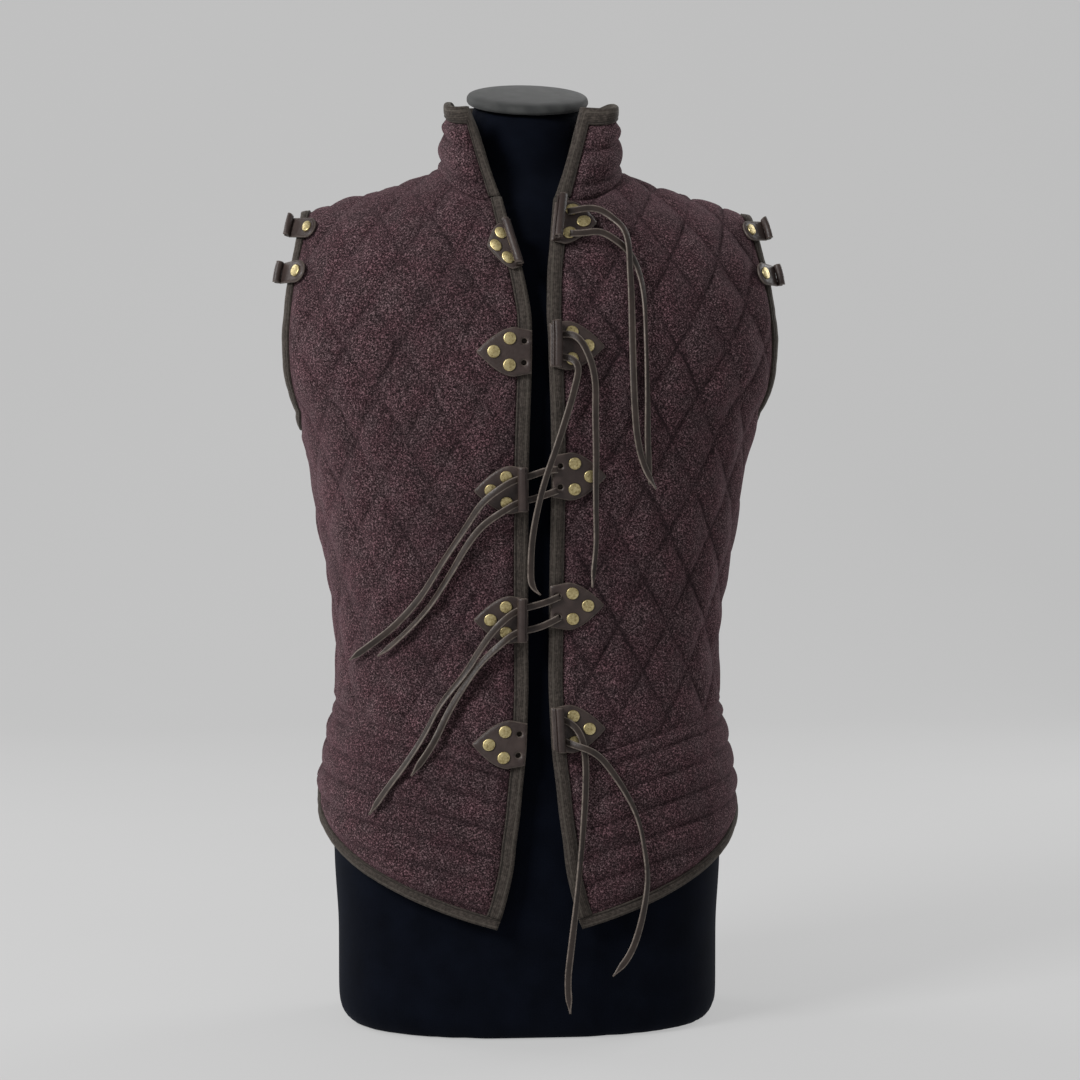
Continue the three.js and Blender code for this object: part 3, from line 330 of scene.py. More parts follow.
LACES = {
    "lace_1_right_inner": [
        (30, 694, 15.2), (34, 694, 15.8), (40, 693, 17), (51, 695, 18.5), (64, 687, 18),
        (75, 678, 14.5), (82, 661, 13), (85, 643, 12), (86, 604, 12), (89, 552, 12), (90, 520, 12),
        (92, 482, 12),
    ],
    "lace_1_right_outer": [
        (30, 714, 15.2), (34, 714, 15.8), (40, 716, 17), (54, 715, 18.5), (63, 707, 18),
        (69, 696, 23), (72, 683, 22.5), (74, 664, 15), (75, 643, 12), (75, 604, 12), (78, 552, 12),
        (81, 520, 13), (86, 498, 15), (95, 478, 19),
    ],
    "lace_2_right_inner": [
        (14, 590, 13.2), (18, 590, 13.6), (23, 589, 16), (30, 584, 20), (28, 567, 16),
        (23, 547, 14), (13, 516, 19), (3, 488, 24), (-3, 462, 22), (-7, 435, 17), (-8, 409, 16),
        (-7, 394, 18), (0, 388, 22),
    ],
    "lace_2_right_outer": [
        (14, 608, 13.2), (18, 608, 13.6), (23, 609, 16), (30, 605, 19.5), (38, 591, 20),
        (44, 572, 15), (45, 541, 14), (45, 512, 18), (45, 486, 18.5), (46, 460, 15), (47, 430, 13),
        (45, 409, 14), (43, 394, 19),
    ],
    "lace_3_upper": [
        (14, 495, 13.3), (3, 494, 13.2), (-7, 490, 13.2), (-14, 488, 13.2), (-19, 487, 13.4),
        (-24, 485, 15.8), (-35, 478, 18), (-48, 467, 16.5), (-62, 445, 13), (-81, 415, 12),
        (-99, 385, 12), (-121, 360, 12), (-143, 343, 12), (-166, 328, 14),
    ],
    "lace_3_lower": [
        (14, 477, 13.3), (3, 473, 13.2), (-6, 470, 13.2), (-14, 468, 13.2), (-19, 467, 13.4),
        (-24, 464, 15.8), (-35, 457, 18), (-48, 447, 14), (-60, 431, 13), (-75, 404, 12),
        (-93, 375, 12), (-117, 349, 12), (-136, 333, 13),
    ],
    "lace_4_upper": [
        (17, 386, 13.3), (8, 382, 13.2), (-5, 378, 13.2), (-14, 376, 13.2), (-19, 374, 13.4),
        (-24, 371, 15.8), (-35, 361, 18), (-46, 346, 15.5), (-61, 321, 13), (-83, 292, 12),
        (-96, 267, 12), (-114, 239, 12), (-127, 222, 12), (-144, 197, 13),
    ],
    "lace_4_lower": [
        (17, 368, 13.3), (8, 363, 13.2), (-5, 358, 13.2), (-13, 357, 13.1), (-20, 355, 13.2),
        (-26, 351, 16), (-35, 343, 17.5), (-48, 330, 15), (-62, 310, 13), (-76, 286, 12),
        (-89, 259, 12), (-107, 232, 13),
    ],
    "lace_5_right_inner": [
        (17, 281, 13.2), (22, 280, 13.6), (27, 277, 16.5), (34, 267, 17.5), (38, 246, 13.5),
        (38, 219, 12.5), (36, 189, 12), (34, 165, 12), (31, 131, 12), (26, 86, 12), (23, 55, 12),
        (25, 28, 12),
    ],
    "lace_5_right_outer": [
        (17, 263, 13.2), (22, 262, 13.6), (28, 259, 18), (38, 256, 22.5), (49, 249, 18.5),
        (61, 234, 14), (73, 215, 13), (83, 193, 12), (89, 163, 12), (91, 141, 12), (85, 103, 12),
        (75, 76, 12), (61, 59, 12),
    ],
}


def catmull_rom(points, per_span=24):
    """Centripetal curve through the points, sampled."""
    points = np.asarray(points, float)
    ends = [2 * points[0] - points[1], *points, 2 * points[-1] - points[-2]]
    samples = []
    for p0, p1, p2, p3 in zip(ends, ends[1:], ends[2:], ends[3:]):
        steps = (p1 - p0, p2 - p1, p3 - p2)
        d0, d1, d2 = (max(np.linalg.norm(step) ** 0.5, 1e-4) for step in steps)
        m1 = ((p1 - p0) / d0 - (p2 - p0) / (d0 + d1) + (p2 - p1) / d1) * d1
        m2 = ((p2 - p1) / d1 - (p3 - p1) / (d1 + d2) + (p3 - p2) / d2) * d1
        for i in range(per_span):
            k = i / per_span
            a, b = 2 * k ** 3 - 3 * k ** 2 + 1, k ** 3 - 2 * k ** 2 + k
            c, d = -2 * k ** 3 + 3 * k ** 2, k ** 3 - k ** 2
            samples.append(a * p1 + b * m1 + c * p2 + d * m2)
    samples.append(points[-1])
    return np.array(samples)


def resampled(points, count):
    reach = reach_along(points)
    at = np.linspace(0, reach[-1], count + 1)
    return np.stack([np.interp(at, reach, column) for column in points.T], -1)


def evenly(points, step):
    length = reach_along(points)[-1]
    return resampled(points, max(int(round(length / step)), 2)), length


# ---- meshes ----

def new_piece(name, positions, faces, materials, smooth_shading=True, face_materials=None):
    """A mesh object from points in millimetres."""
    mesh = bpy.data.meshes.new(name)
    mesh.from_pydata((np.asarray(positions) * METRE).tolist(), [], [list(map(int, f)) for f in faces])
    for material in materials:
        mesh.materials.append(material)
    mesh.polygons.foreach_set("use_smooth", [smooth_shading] * len(mesh.polygons))
    if face_materials is not None:
        mesh.polygons.foreach_set("material_index", face_materials)
    mesh.update()
    piece = bpy.data.objects.new(name, mesh)
    bpy.context.scene.collection.objects.link(piece)
    return piece


def outwards(piece):
    """Turns the faces of a closed piece to face out."""
    work = bmesh.new()
    work.from_mesh(piece.data)
    bmesh.ops.recalc_face_normals(work, faces=work.faces)
    work.to_mesh(piece.data)
    work.free()
    return piece


def pattern_layer(piece, values):
    """Keeps each point's place on its pattern piece, in millimetres, for the materials."""
    layer = piece.data.attributes.new("pattern", "FLOAT_VECTOR", "POINT")
    layer.data.foreach_set("vector", np.asarray(values, float).ravel())


def ride(piece, node=None):
    """Puts a piece on the part's one body, in place of a node where it stands for one."""
    if node:
        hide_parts(node)
    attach(piece, "root")


def tube_faces(rings, around, closed_ends=True, end_to_start=False):
    faces = []
    spans = rings if end_to_start else rings - 1
    for i in range(spans):
        n = (i + 1) % rings
        for j in range(around):
            k = (j + 1) % around
            faces.append((i * around + j, i * around + k, n * around + k, n * around + j))
    if closed_ends and not end_to_start:
        faces.append(tuple(range(around))[::-1])
        faces.append(tuple((rings - 1) * around + j for j in range(around)))
    return faces


def inside_polygon(points, polygon):
    x, y = points[:, 0], points[:, 1]
    inside = np.zeros(len(points), bool)
    x0, y0 = polygon[-1]
    for x1, y1 in polygon:
        crosses = (y1 > y) != (y0 > y)
        if abs(y1 - y0) > 1e-12:
            inside ^= crosses & (x < (x0 - x1) * (y - y1) / (y0 - y1) + x1)
        x0, y0 = x1, y1
    return inside


def inside_outline(points, outline, holes):
    inside = inside_polygon(points, outline)
    for hole in holes:
        inside &= ~inside_polygon(points, hole)
    return inside


def edge_distance(points, polygon, limit=1e9):
    nearest = np.full(len(points), 1e9)
    start = np.asarray(polygon)
    end = np.roll(start, -1, axis=0)
    for a, b in zip(start, end):
        d = b - a
        near = np.ones(len(points), bool)
        if limit < 1e9:
            low, high = np.minimum(a, b) - limit, np.maximum(a, b) + limit
            near = np.all((points > low) & (points < high), axis=1)
        if not near.any():
            continue
        v = points[near] - a
        k = np.clip((v @ d) / max(d @ d, 1e-12), 0, 1)
        gap = np.linalg.norm(v - k[:, None] * d, axis=1)
        nearest[near] = np.minimum(nearest[near], gap)
    return nearest


def densified(outline, step):
    points = []
    outline = np.asarray(outline, float)
    for a, b in zip(outline, np.roll(outline, -1, axis=0)):
        count = max(int(math.ceil(np.linalg.norm(b - a) / step)), 1)
        points += [mix(a, b, i / count) for i in range(count)]
    return np.array(points)


def filled(outline, holes, step):
    """Points and triangles that fill an outline on a lattice of near equilateral cells."""
    loops = [outline, *holes]
    low, high = outline.min(axis=0), outline.max(axis=0)
    rows = np.arange(low[1], high[1], step * 0.866)
    grid = []
    for j, t in enumerate(rows):
        s = np.arange(low[0] + (j % 2) * step / 2, high[0], step)
        grid.append(np.stack([s, np.full(len(s), t)], -1))
    grid = np.concatenate(grid)
    grid = grid[inside_outline(grid, outline, holes)]
    for loop in loops:
        grid = grid[edge_distance(grid, loop, step * 2) > step * 0.55]
    points = np.concatenate([*loops, grid])
    edges, start = [], 0
    for loop in loops:
        n = len(loop)
        edges += [(start + i, start + (i + 1) % n) for i in range(n)]
        start += n
    result = delaunay_2d_cdt([Vector(p) for p in points], edges, [], 1, 1e-5)
    faces, origins = result[2], result[3]
    new_index = {}
    for new, old in enumerate(origins):
        for o in old:
            new_index[o] = new
    vertices = np.array([tuple(v) for v in result[0]])
    back = {new: old for old, new in new_index.items()}
    if len(back) != len(vertices):
        raise ValueError("the outline crosses itself")
    faces = [[back[i] for i in face] for face in faces]
    if holes:
        centres = np.array([points[face].mean(axis=0) for face in faces])
        keep = inside_outline(centres, outline, holes)
        faces = [face for face, kept in zip(faces, keep) if kept]
    return points, faces


def closed_faces(top, under, offset, loops):
    """The faces of two sheets, the second's points after the first's, and of the rims between."""
    faces = [list(f) for f in top] + [[offset + i for i in f][::-1] for f in under]
    start = 0
    for loop in loops:
        n = len(loop)
        for i in range(n):
            a, b = start + i, start + (i + 1) % n
            faces.append([a, offset + a, offset + b, b])
        start += n
    return faces


def sheet_mesh(name, outline, place, inside, outside, step, coarse, materials, holes=(), rim=2.0):
    """A closed sheet over a pattern outline: a fine outside, a coarser inside and a rim between."""
    outline = densified(outline, rim)
    holes = [densified(hole, rim) for hole in holes]
    if np.sum(np.cross(outline, np.roll(outline, -1, axis=0))) < 0:
        outline = outline[::-1]
    top, top_faces = filled(outline, holes, step)
    under, under_faces = filled(outline, holes, coarse)
    top_place = place(*top.T, outside(*top.T))
    under_place = place(*under.T, inside(*under.T))
    faces = closed_faces(top_faces, under_faces, len(top), [outline, *holes])
    piece = new_piece(name, np.concatenate([top_place, under_place]), faces, materials)
    edge = np.minimum(edge_distance(top, outline, 30), 30)
    values = [np.column_stack([top, edge]), np.column_stack([under, np.zeros(len(under))])]
    pattern_layer(piece, np.concatenate(values))
    return outwards(piece)


# ---- materials ----

class Nodes:
    """A material's node tree with short calls for what the recipes need."""

    def __init__(self, name):
        self.material = bpy.data.materials.new(name)
        self.material.use_nodes = True
        self.tree = self.material.node_tree
        self.shader = self.tree.nodes["Principled BSDF"]

    def node(self, kind, inputs=(), **settings):
        node = self.tree.nodes.new(kind)
        for key, value in settings.items():
            setattr(node, key, value)
        for key, value in dict(inputs).items():
            self.put(node.inputs[key], value)
        return node

    def put(self, socket, value):
        if isinstance(value, bpy.types.NodeSocket):
            self.tree.links.new(value, socket)
        else:
            socket.default_value = value

    def set(self, **values):
        for key, value in values.items():
            self.put(self.shader.inputs[key.replace("_", " ")], value)

    def math(self, operation, a, b=0.0):
        return self.node("ShaderNodeMath", {0: a, 1: b}, operation=operation).outputs[0]

    def times(self, a, b):
        return self.math("MULTIPLY", a, b)

    def plus(self, a, b):
        return self.math("ADD", a, b)

    def minus(self, a, b):
        return self.math("SUBTRACT", a, b)

    def wave(self, value, period):
        return self.math("SINE", self.times(value, 2 * math.pi / period))

    def object_place(self):
        return self.node("ShaderNodeTexCoord").outputs["Object"]

    def pattern(self):
        return self.node("ShaderNodeAttribute", attribute_name="pattern").outputs["Vector"]

    def split(self, vector):
        return self.node("ShaderNodeSeparateXYZ", {0: vector}).outputs

    def noise(self, vector, scale, detail=3.0, roughness=0.5, distortion=0.0):
        inputs = {"Vector": vector, "Scale": scale, "Detail": detail, "Roughness": roughness,
                  "Distortion": distortion}
        return self.node("ShaderNodeTexNoise", inputs).outputs["Fac"]

    def ramp(self, value, stops):
        node = self.node("ShaderNodeValToRGB", {"Fac": value})
        ramp = node.color_ramp
        while len(ramp.elements) < len(stops):
            ramp.elements.new(0.5)
        for element, (position, colour) in zip(ramp.elements, stops):
            element.position = position
            element.color = (*colour, 1) if len(colour) == 3 else colour
        return node.outputs["Color"]

    def grey(self, value, low, high, start=0.0, end=1.0):
        inputs = {"Value": value, "From Min": start, "From Max": end, "To Min": low, "To Max": high}
        return self.node("ShaderNodeMapRange", inputs).outputs["Result"]

    def blend(self, factor, a, b, mode="MIX"):
        node = self.node("ShaderNodeMix", data_type="RGBA", blend_type=mode)
        self.put(node.inputs["Factor"], factor)
        self.put(node.inputs["A"], (*a, 1) if isinstance(a, tuple) else a)
        self.put(node.inputs["B"], (*b, 1) if isinstance(b, tuple) else b)
        return node.outputs["Result"]

    def bump(self, height, strength, distance, normal=None):
        inputs = {"Height": height, "Strength": strength, "Distance": distance}
        if normal is not None:
            inputs["Normal"] = normal
        return self.node("ShaderNodeBump", inputs).outputs["Normal"]


def line_gap(n, a, b, c, spacing):
    """Distance in millimetres to the nearest of parallel lines a s + b t = whole number."""
    value = n.plus(n.times(a[0], a[1]), n.times(b[0], b[1]))
    value = n.plus(value, c)
    away = n.math("ABSOLUTE", n.minus(n.math("FRACT", value), 0.5))
    return n.times(n.minus(0.5, away), spacing)


def wool_material(name, quilting, groove_shade_strength):
    """Melange wool: dark fibres with lighter ones between, redder and greyer in clouds, with painted
    shade along its quilting lines.
    """
    n = Nodes(name)
    place = n.object_place()
    s, t, _ = n.split(n.pattern())
    fibre = n.noise(place, 700, 3, 0.7)
    fine = n.noise(place, 1700, 2, 0.6)
    cloud = n.noise(place, 48, 4, 0.62)
    broad = n.noise(place, 16, 3, 0.5)
    fleck = n.plus(n.times(fibre, 0.64), n.times(fine, 0.36))
    base = n.ramp(fleck, [
        (0.40, (0.0026, 0.0015, 0.0018)), (0.48, (0.025, 0.0140, 0.0162)),
        (0.54, (0.068, 0.0390, 0.0440)), (0.62, (0.26, 0.165, 0.180)),
    ])
    grey = n.blend(1.0, base, (0.97, 1.03, 1.0), "MULTIPLY")
    red = n.blend(1.0, base, (1.06, 0.93, 0.96), "MULTIPLY")
    base = n.blend(n.grey(cloud, 0, 1, 0.38, 0.62), grey, red)
    base = n.blend(n.grey(broad, 0.0, 0.30, 0.35, 0.7), base, (0.016, 0.009, 0.011))
    groove, hollow, dash = quilting(n, s, t)
    # Painted shade: darker colour in the quilting grooves and, fainter, in the hollows beside them,
    # broken into patches by noise and scaled by the last argument.
    patchy_shade = n.times(n.grey(n.noise(place, 28, 3, 0.6), 0.15, 1.0, 0.38, 0.62), groove_shade_strength)
    base = n.blend(n.times(groove, patchy_shade), base, (0.005, 0.0026, 0.0034))
    base = n.blend(n.times(hollow, n.times(patchy_shade, 0.3)), base, (0.010, 0.0056, 0.0068))
    n.set(Base_Color=base, Roughness=0.95, Sheen_Weight=0.22, Sheen_Roughness=0.4)
    n.set(Sheen_Tint=(0.62, 0.34, 0.40, 1), Specular_IOR_Level=0.12)
    fuzz = n.plus(n.times(fleck, 1.2), n.times(cloud, 0.5))
    height = n.minus(fuzz, n.times(dash, 0.7))
    n.set(Normal=n.bump(height, 0.9, 0.0014))
    return n.material


def stitched(n, gap, along):
    """From the distance to a quilting line: masks for the painted shade in its groove and in the
    hollow beside it, and its stitches.
    """
    beat = n.math("FRACT", n.times(along, 1 / 3.6))
    dash = n.times(n.math("LESS_THAN", beat, 0.7), n.math("LESS_THAN", gap, 0.45))
    return n.grey(gap, 1, 0, 0.0, 2.4), n.grey(gap, 1, 0, 0.0, 7.0), dash


def diamond_quilting(n, s, t):
    width, height = DIAMOND
    spacing = 1 / math.hypot(1 / width, 1 / height)
    rising = line_gap(n, (s, 1 / width), (t, 1 / height), 0.0, spacing)
    falling = line_gap(n, (s, 1 / width), (t, -1 / height), 0.0, spacing)
    gap = n.math("MINIMUM", rising, falling)
    return stitched(n, gap, t)


def channel_quilting(n, s, t):
    return stitched(n, line_gap(n, (t, 1 / CHANNEL), (s, 0.0), -0.5, CHANNEL), s)


def collar_quilting(n, s, t):
    low, high = (n.math("ABSOLUTE", n.minus(t, COLLAR[line])) for line in ("low", "high"))
    return stitched(n, n.math("MINIMUM", low, high), s)


def twill_material():
    """Brown-olive twill, ribbed along the strip, with a stitch line near its inner edge, painted
    shade along that line and a painted highlight along its fold.
    """
    n = Nodes("twill")
    along, across, _ = n.split(n.pattern())
    place = n.object_place()
    rib = n.wave(n.plus(across, n.times(along, 0.08)), 1.7)
    slant = n.wave(n.plus(across, along), 0.8)
    mottle = n.noise(place, 420, 4, 0.65)
    weave = n.plus(n.times(rib, 0.07), n.times(slant, 0.06))
    base = n.ramp(n.plus(weave, mottle), [
        (0.25, (0.0115, 0.0090, 0.0076)), (0.5, (0.034, 0.0272, 0.0228)),
        (0.8, (0.078, 0.064, 0.055)),
    ])
    seam = n.grey(n.math("ABSOLUTE", n.minus(across, STITCH_LINE)), 1, 0, 0.2, 0.9)
    fold_highlight = n.grey(n.math("ABSOLUTE", n.minus(across, 8.6)), 1, 0, 0.2, 1.1)
    # Painted shade: a dark line in the stitch line's groove.
    base = n.blend(n.times(seam, 0.7), base, (0.007, 0.0058, 0.005))
    # Painted highlight: a lighter line along the strip's folded edge.
    base = n.blend(n.times(fold_highlight, 0.35), base, (0.10, 0.088, 0.073))
    n.set(Base_Color=base, Roughness=0.85, Sheen_Weight=0.12, Sheen_Tint=(0.6, 0.56, 0.48, 1))
    n.set(Specular_IOR_Level=0.2)
    n.set(Normal=n.bump(n.minus(weave, seam), 0.6, 0.0006))
    return n.material


def leather_material(name, dark, light, roughness, scuff):
    n = Nodes(name)
    place = n.object_place()
    pores = n.node("ShaderNodeTexVoronoi", {"Vector": place, "Scale": 900.0}, feature="SMOOTH_F1")
    pores = pores.outputs["Distance"]
    grain = n.noise(place, 420, 5, 0.6)
    tone = n.noise(place, 60, 3, 0.6)
    worn = n.noise(place, 240, 5, 0.75, 0.6)
    base = n.blend(n.grey(tone, 0, 1, 0.35, 0.7), dark, light)
    edge = n.split(n.pattern())[2]
    rub = n.times(n.grey(edge, 1, 0, 0.1, 1.2), n.grey(worn, 0.35, 1, 0.35, 0.6))
    base = n.blend(n.times(rub, scuff), base, (0.20, 0.165, 0.14))
    rough = n.grey(grain, roughness - 0.1, roughness + 0.16, 0.3, 0.7)
    n.set(Base_Color=base, Roughness=rough, Specular_IOR_Level=0.34)
    height = n.plus(n.times(pores, 0.5), n.times(grain, 0.7))
    n.set(Normal=n.bump(height, 0.35, 0.0004))
    return n.material


def brass_material():
    n = Nodes("brass")
    place = n.object_place()
    stain = n.noise(place, 500, 5, 0.7)
    base = n.ramp(stain, [
        (0.3, (0.17, 0.125, 0.055)), (0.5, (0.46, 0.38, 0.19)), (0.75, (0.66, 0.58, 0.34)),
    ])
    n.set(Base_Color=base, Metallic=1.0, Roughness=n.grey(stain, 0.5, 0.36, 0.3, 0.7))
    n.set(Normal=n.bump(n.noise(place, 1400, 2), 0.15, 0.0002))
    return n.material


def jersey_material():
    n = Nodes("jersey")
    place = n.object_place()
    x, y, z = n.split(place)
    turn = n.math("ARCTAN2", y, x)
    ribs = n.math("SINE", n.times(turn, 620.0))
    courses = n.wave(z, 0.0013)
    knit = n.plus(n.times(ribs, 0.5), n.times(courses, 0.5))
    soft = n.noise(place, 35, 3)
    base = n.blend(n.grey(soft, 0, 1, 0.3, 0.7), (0.0008, 0.0014, 0.0036), (0.0018, 0.0028, 0.0064))
    n.set(Base_Color=base, Roughness=0.9, Sheen_Weight=0.02, Sheen_Roughness=0.5)
    n.set(Sheen_Tint=(0.40, 0.48, 0.70, 1), Specular_IOR_Level=0.06)
    n.set(Normal=n.bump(knit, 0.18, 0.0003))
    return n.material


def cap_material():
    n = Nodes("cap")
    place = n.object_place()
    x, y, _ = n.split(place)
    warp = n.wave(x, 0.0009)
    weft = n.wave(y, 0.0009)
    weave = n.times(warp, weft)
    soft = n.noise(place, 90, 4)
    # Painted light: the cap is the form's black cloth, drawn in a lighter grey that stands in for the
    # light falling on its top.
    base = n.blend(n.grey(soft, 0, 1, 0.3, 0.7), (0.022, 0.023, 0.023), (0.044, 0.045, 0.044))
    n.set(Base_Color=base, Roughness=0.8, Sheen_Weight=0.12, Specular_IOR_Level=0.25)
    n.set(Normal=n.bump(weave, 0.3, 0.0002))
    return n.material


# Copies of the wool that differ in the strength of their painted groove shade: strong on the right
# front and back, fainter on the left front, which the light falls on flat.
WOOL = wool_material("wool_diamonds", diamond_quilting, 0.82)
WOOL_FAINT_GROOVE_SHADE = wool_material("wool_diamonds_faint_groove_shade", diamond_quilting, 0.55)
WOOL_SKIRT = wool_material("wool_channels", channel_quilting, 0.6)
WOOL_COLLAR = wool_material("wool_collar", collar_quilting, 0.5)
TWILL = twill_material()
LEATHER = leather_material("leather", (0.025, 0.0158, 0.0138), (0.043, 0.029, 0.0250), 0.46, 0.5)
LACING = leather_material("lacing", (0.0145, 0.0088, 0.0066), (0.031, 0.0205, 0.0160), 0.46, 1.0)
BRASS = brass_material()
JERSEY = jersey_material()
CAP = cap_material()


# ---- laces ----

LACE_SECTION = [  # shares of half the width and half the thickness
    (-1, -0.6), (-0.86, -1), (0, -0.9), (0.86, -1), (1, -0.6), (1, 0.6), (0.86, 1), (0, 0.9),
    (-0.86, 1), (-1, 0.6),
]


def lace(name, rows):
    """A flat thong along its row of points, turned to lie on what is below it."""
    s, t, lift = np.array(rows, float).T
    route = FRONT.worn(s, t, lift)
    path, _ = evenly(catmull_rom(route), 3.0)
    for _ in range(6):
        path[1:-1] = 0.25 * path[:-2] + 0.5 * path[1:-1] + 0.25 * path[2:]
    path, length = evenly(path, 3.0)
    tangent = unit(np.gradient(path, axis=0))
    probe = path.copy()
    probe[:, 0] *= 0.2
    probe[:, 1] = 0
    facing = path - probe
    facing[:, 2] = 0
    across = unit(np.cross(tangent, facing))
    through = np.cross(across, tangent)
    k = np.linspace(0, 1, len(path))
    twist = 0.5 * np.sin(k * RNG.uniform(3, 6) + RNG.uniform(0, 6)) * smooth(k, 0.1, 0.5)
    cos, sin = np.cos(twist)[:, None], np.sin(twist)[:, None]
    across, through = across * cos + through * sin, through * cos - across * sin
    taper = 1 - 0.75 * smooth(k, 1 - 14 / length, 1)
    half, thick = LACE_WIDTH / 2, LACE_THICK / 2
    rings, pattern = [], []
    for a, b in LACE_SECTION:
        ring = path + across * (half * a * taper)[:, None] + through * (thick * b)
        rings.append(ring)
        edge = (1 - abs(a)) * half * taper
        pattern.append(np.column_stack([k * length, np.full(len(k), half * a), edge]))
    positions = np.stack(rings, 1).reshape(-1, 3)
    piece = new_piece(name + "_thong", positions, tube_faces(len(path), len(LACE_SECTION)), [LACING])
    pattern_layer(piece, np.stack(pattern, 1).reshape(-1, 3))
    outwards(piece)
    metres = path * METRE
    ride(piece, name)
    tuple(metres[0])


for name, rows in LACES.items():
    lace(name, rows)


# ---- edges and seams ----

def armhole_edge(face, count=90):
    """Outer and inner edge of the armhole's binding, from the armpit to the shoulder tip."""
    column = 1 if face is FRONT else 2
    heights = [ARMPIT + row[0] for row in ARMHOLE_EDGE]
    points = [(face.side_seam(t) - row[column], t) for t, row in zip(heights, ARMHOLE_EDGE)]
    points.append((face.tip_across, float(face.shoulder_seam(face.tip_across))))
    outer = resampled(catmull_rom(points, 40), count)
    tangent = unit(np.gradient(outer, axis=0))
    inner = outer + np.column_stack([-tangent[:, 1], tangent[:, 0]]) * BIND["armhole"]
    low = ARMPIT - BIND["armhole"]
    inner[0] = (face.side_seam(low), low)
    tip = face.across_at_ridge(TIP - BIND["armhole"])
    inner[-1] = (tip, float(face.shoulder_seam(tip)))
    return outer, inner


def front_neck_up():
    up = 740.0
    for _ in range(20):
        up = FRONT.neck_up(float(front_edge(up)))
    return up


FRONT_NECK_UP = front_neck_up()


def neckline(face, start, count=40):
    end = face.across_at_ridge(NECK["side"])
    s = mix(start, end, np.linspace(0, 1, count + 1) ** 0.7)
    t = np.array([face.neck_up(a) for a in s])
    t[-1] = face.shoulder_seam(end)
    return np.column_stack([s, t])


def mirrored(outline):
    return (outline * (-1, 1))[::-1]


def body_half(face, start):
    """Outline of a body half, from the low inner corner round to the neckline's middle."""
    gap = 0.1
    side = face.side_seam(WAIST["side"]) - gap
    s = np.linspace(start, side, 60)
    waist = np.column_stack([s, face.waist_seam(s) + gap])
    _, inner = armhole_edge(face)
    rise = np.linspace(waist[-1, 1], inner[0, 1], 30)[1:-1]
    seam = np.column_stack([face.side_seam(rise) - gap, rise])
    neck = neckline(face, start if face is BACK else front_edge(FRONT_NECK_UP) + BIND["front"])[::-1]
    ridge = np.linspace(inner[-1, 0], neck[0, 0], 40)[1:-1]
    shoulder = np.column_stack([ridge, face.shoulder_seam(ridge) - gap])
    return np.concatenate([waist, seam, inner, shoulder, neck])


def front_outline():
    half = body_half(FRONT, float(front_edge(FRONT.waist_seam(20))) + BIND["front"])
    rise = np.linspace(half[-1, 1], half[0, 1], 50)[1:-1]
    return np.concatenate([half, np.column_stack([front_edge(rise) + BIND["front"], rise])])


def whole(half):
    return np.concatenate([half, mirrored(half)[1:-1]])


# ---- quilted panels ----

puckers = ripple(3, 7)
swells = ripple(5, 34)
drape = ripple(11, 120)


def pillow(a):
    return np.sin(math.pi * (a - np.floor(a)))


def diamonds(s, t):
    rising, falling = s / DIAMOND[0] + t / DIAMOND[1], s / DIAMOND[0] - t / DIAMOND[1]
    return (pillow(rising) * pillow(falling)) ** 0.5


def channels(_, down):
    return pillow((down - CHANNEL / 2) / CHANNEL) ** 0.55


def collar_puffs(_, up):
    a, b, top = COLLAR["low"], COLLAR["high"], COLLAR["height"] - BIND["collar"]
    low = pillow(np.clip(up / a, 0, 1)) ** 0.7 * 0.8
    middle = pillow(np.clip((up - a) / (b - a), 0, 1)) ** 0.6 * 1.25
    high = pillow(np.clip((up - b) / (top - b), 0, 0.999)) ** 0.6
    return np.where(up < a, low, np.where(up < b, middle, high))


CREASES = [  # soft folds: across, up, degrees from level, half length, half width, depth
    (-62, 338, 28, 46, 7, 1.5), (-95, 322, 22, 52, 8, 1.7), (-120, 372, 34, 40, 7, 1.2),
    (-45, 300, 14, 34, 6, 1.3), (-150, 505, -52, 40, 9, 1.6), (-140, 560, -60, 36, 8, 1.4),
    (-60, 640, 40, 44, 9, 1.3), (-95, 610, 48, 40, 8, 1.1), (100, 335, -24, 40, 7, 1.2),
    (140, 360, -36, 40, 8, 1.4), (150, 520, 55, 42, 9, 1.5), (70, 640, -42, 40, 8, 1.2),
]


def creased(s, t):
    depth = 0 * s
    for across, up, degrees, length, width, deep in CREASES:
        cos, sin = math.cos(math.radians(degrees)), math.sin(math.radians(degrees))
        along, off = (s - across) * cos + (t - up) * sin, (t - up) * cos - (s - across) * sin
        off = off + 3 * np.sin(along / 22 + across)
        ridge = 0.45 * np.exp(-((off - 1.7 * width) / width) ** 2)
        depth = depth + deep * np.exp(-(along / length) ** 2) * (np.exp(-(off / width) ** 2) - ridge)
    return depth


def quilted(outline, pattern, seed, tight, folds, full_foot):
    """Lift of the outside of quilted cloth, with the small unevenness of real padding."""
    shift = seed * 613.0
    if full_foot:
        foot = outline[:, 1] < full_foot
        outline = np.column_stack([outline[:, 0], np.where(foot, -40, outline[:, 1])])

    def outside(s, t):
        edge = smooth(edge_distance(np.column_stack([s, t]), outline, PUFF_EDGE + 1), 0, PUFF_EDGE)
        puff = pattern(s + 1.1 * drape(s, t + shift), t + 1.1 * drape(t, s + shift))
        rough = 0.34 * puckers(s + shift, t) * (1 - puff) + 0.36 * swells(s, t + shift) * puff
        soft = 0.45 * (1 - tight) * PUFF
        worn = 0.35 * swells(t + shift, s) - (folds(s, t) if folds else 0)
        return CLOTH + (PUFF * puff * tight + soft + rough + worn) * edge
    return outside


def plain(lift):
    return lambda s, t: np.full(np.shape(s), float(lift))


def soft_piece(piece, node, area):
    ride(piece, node)


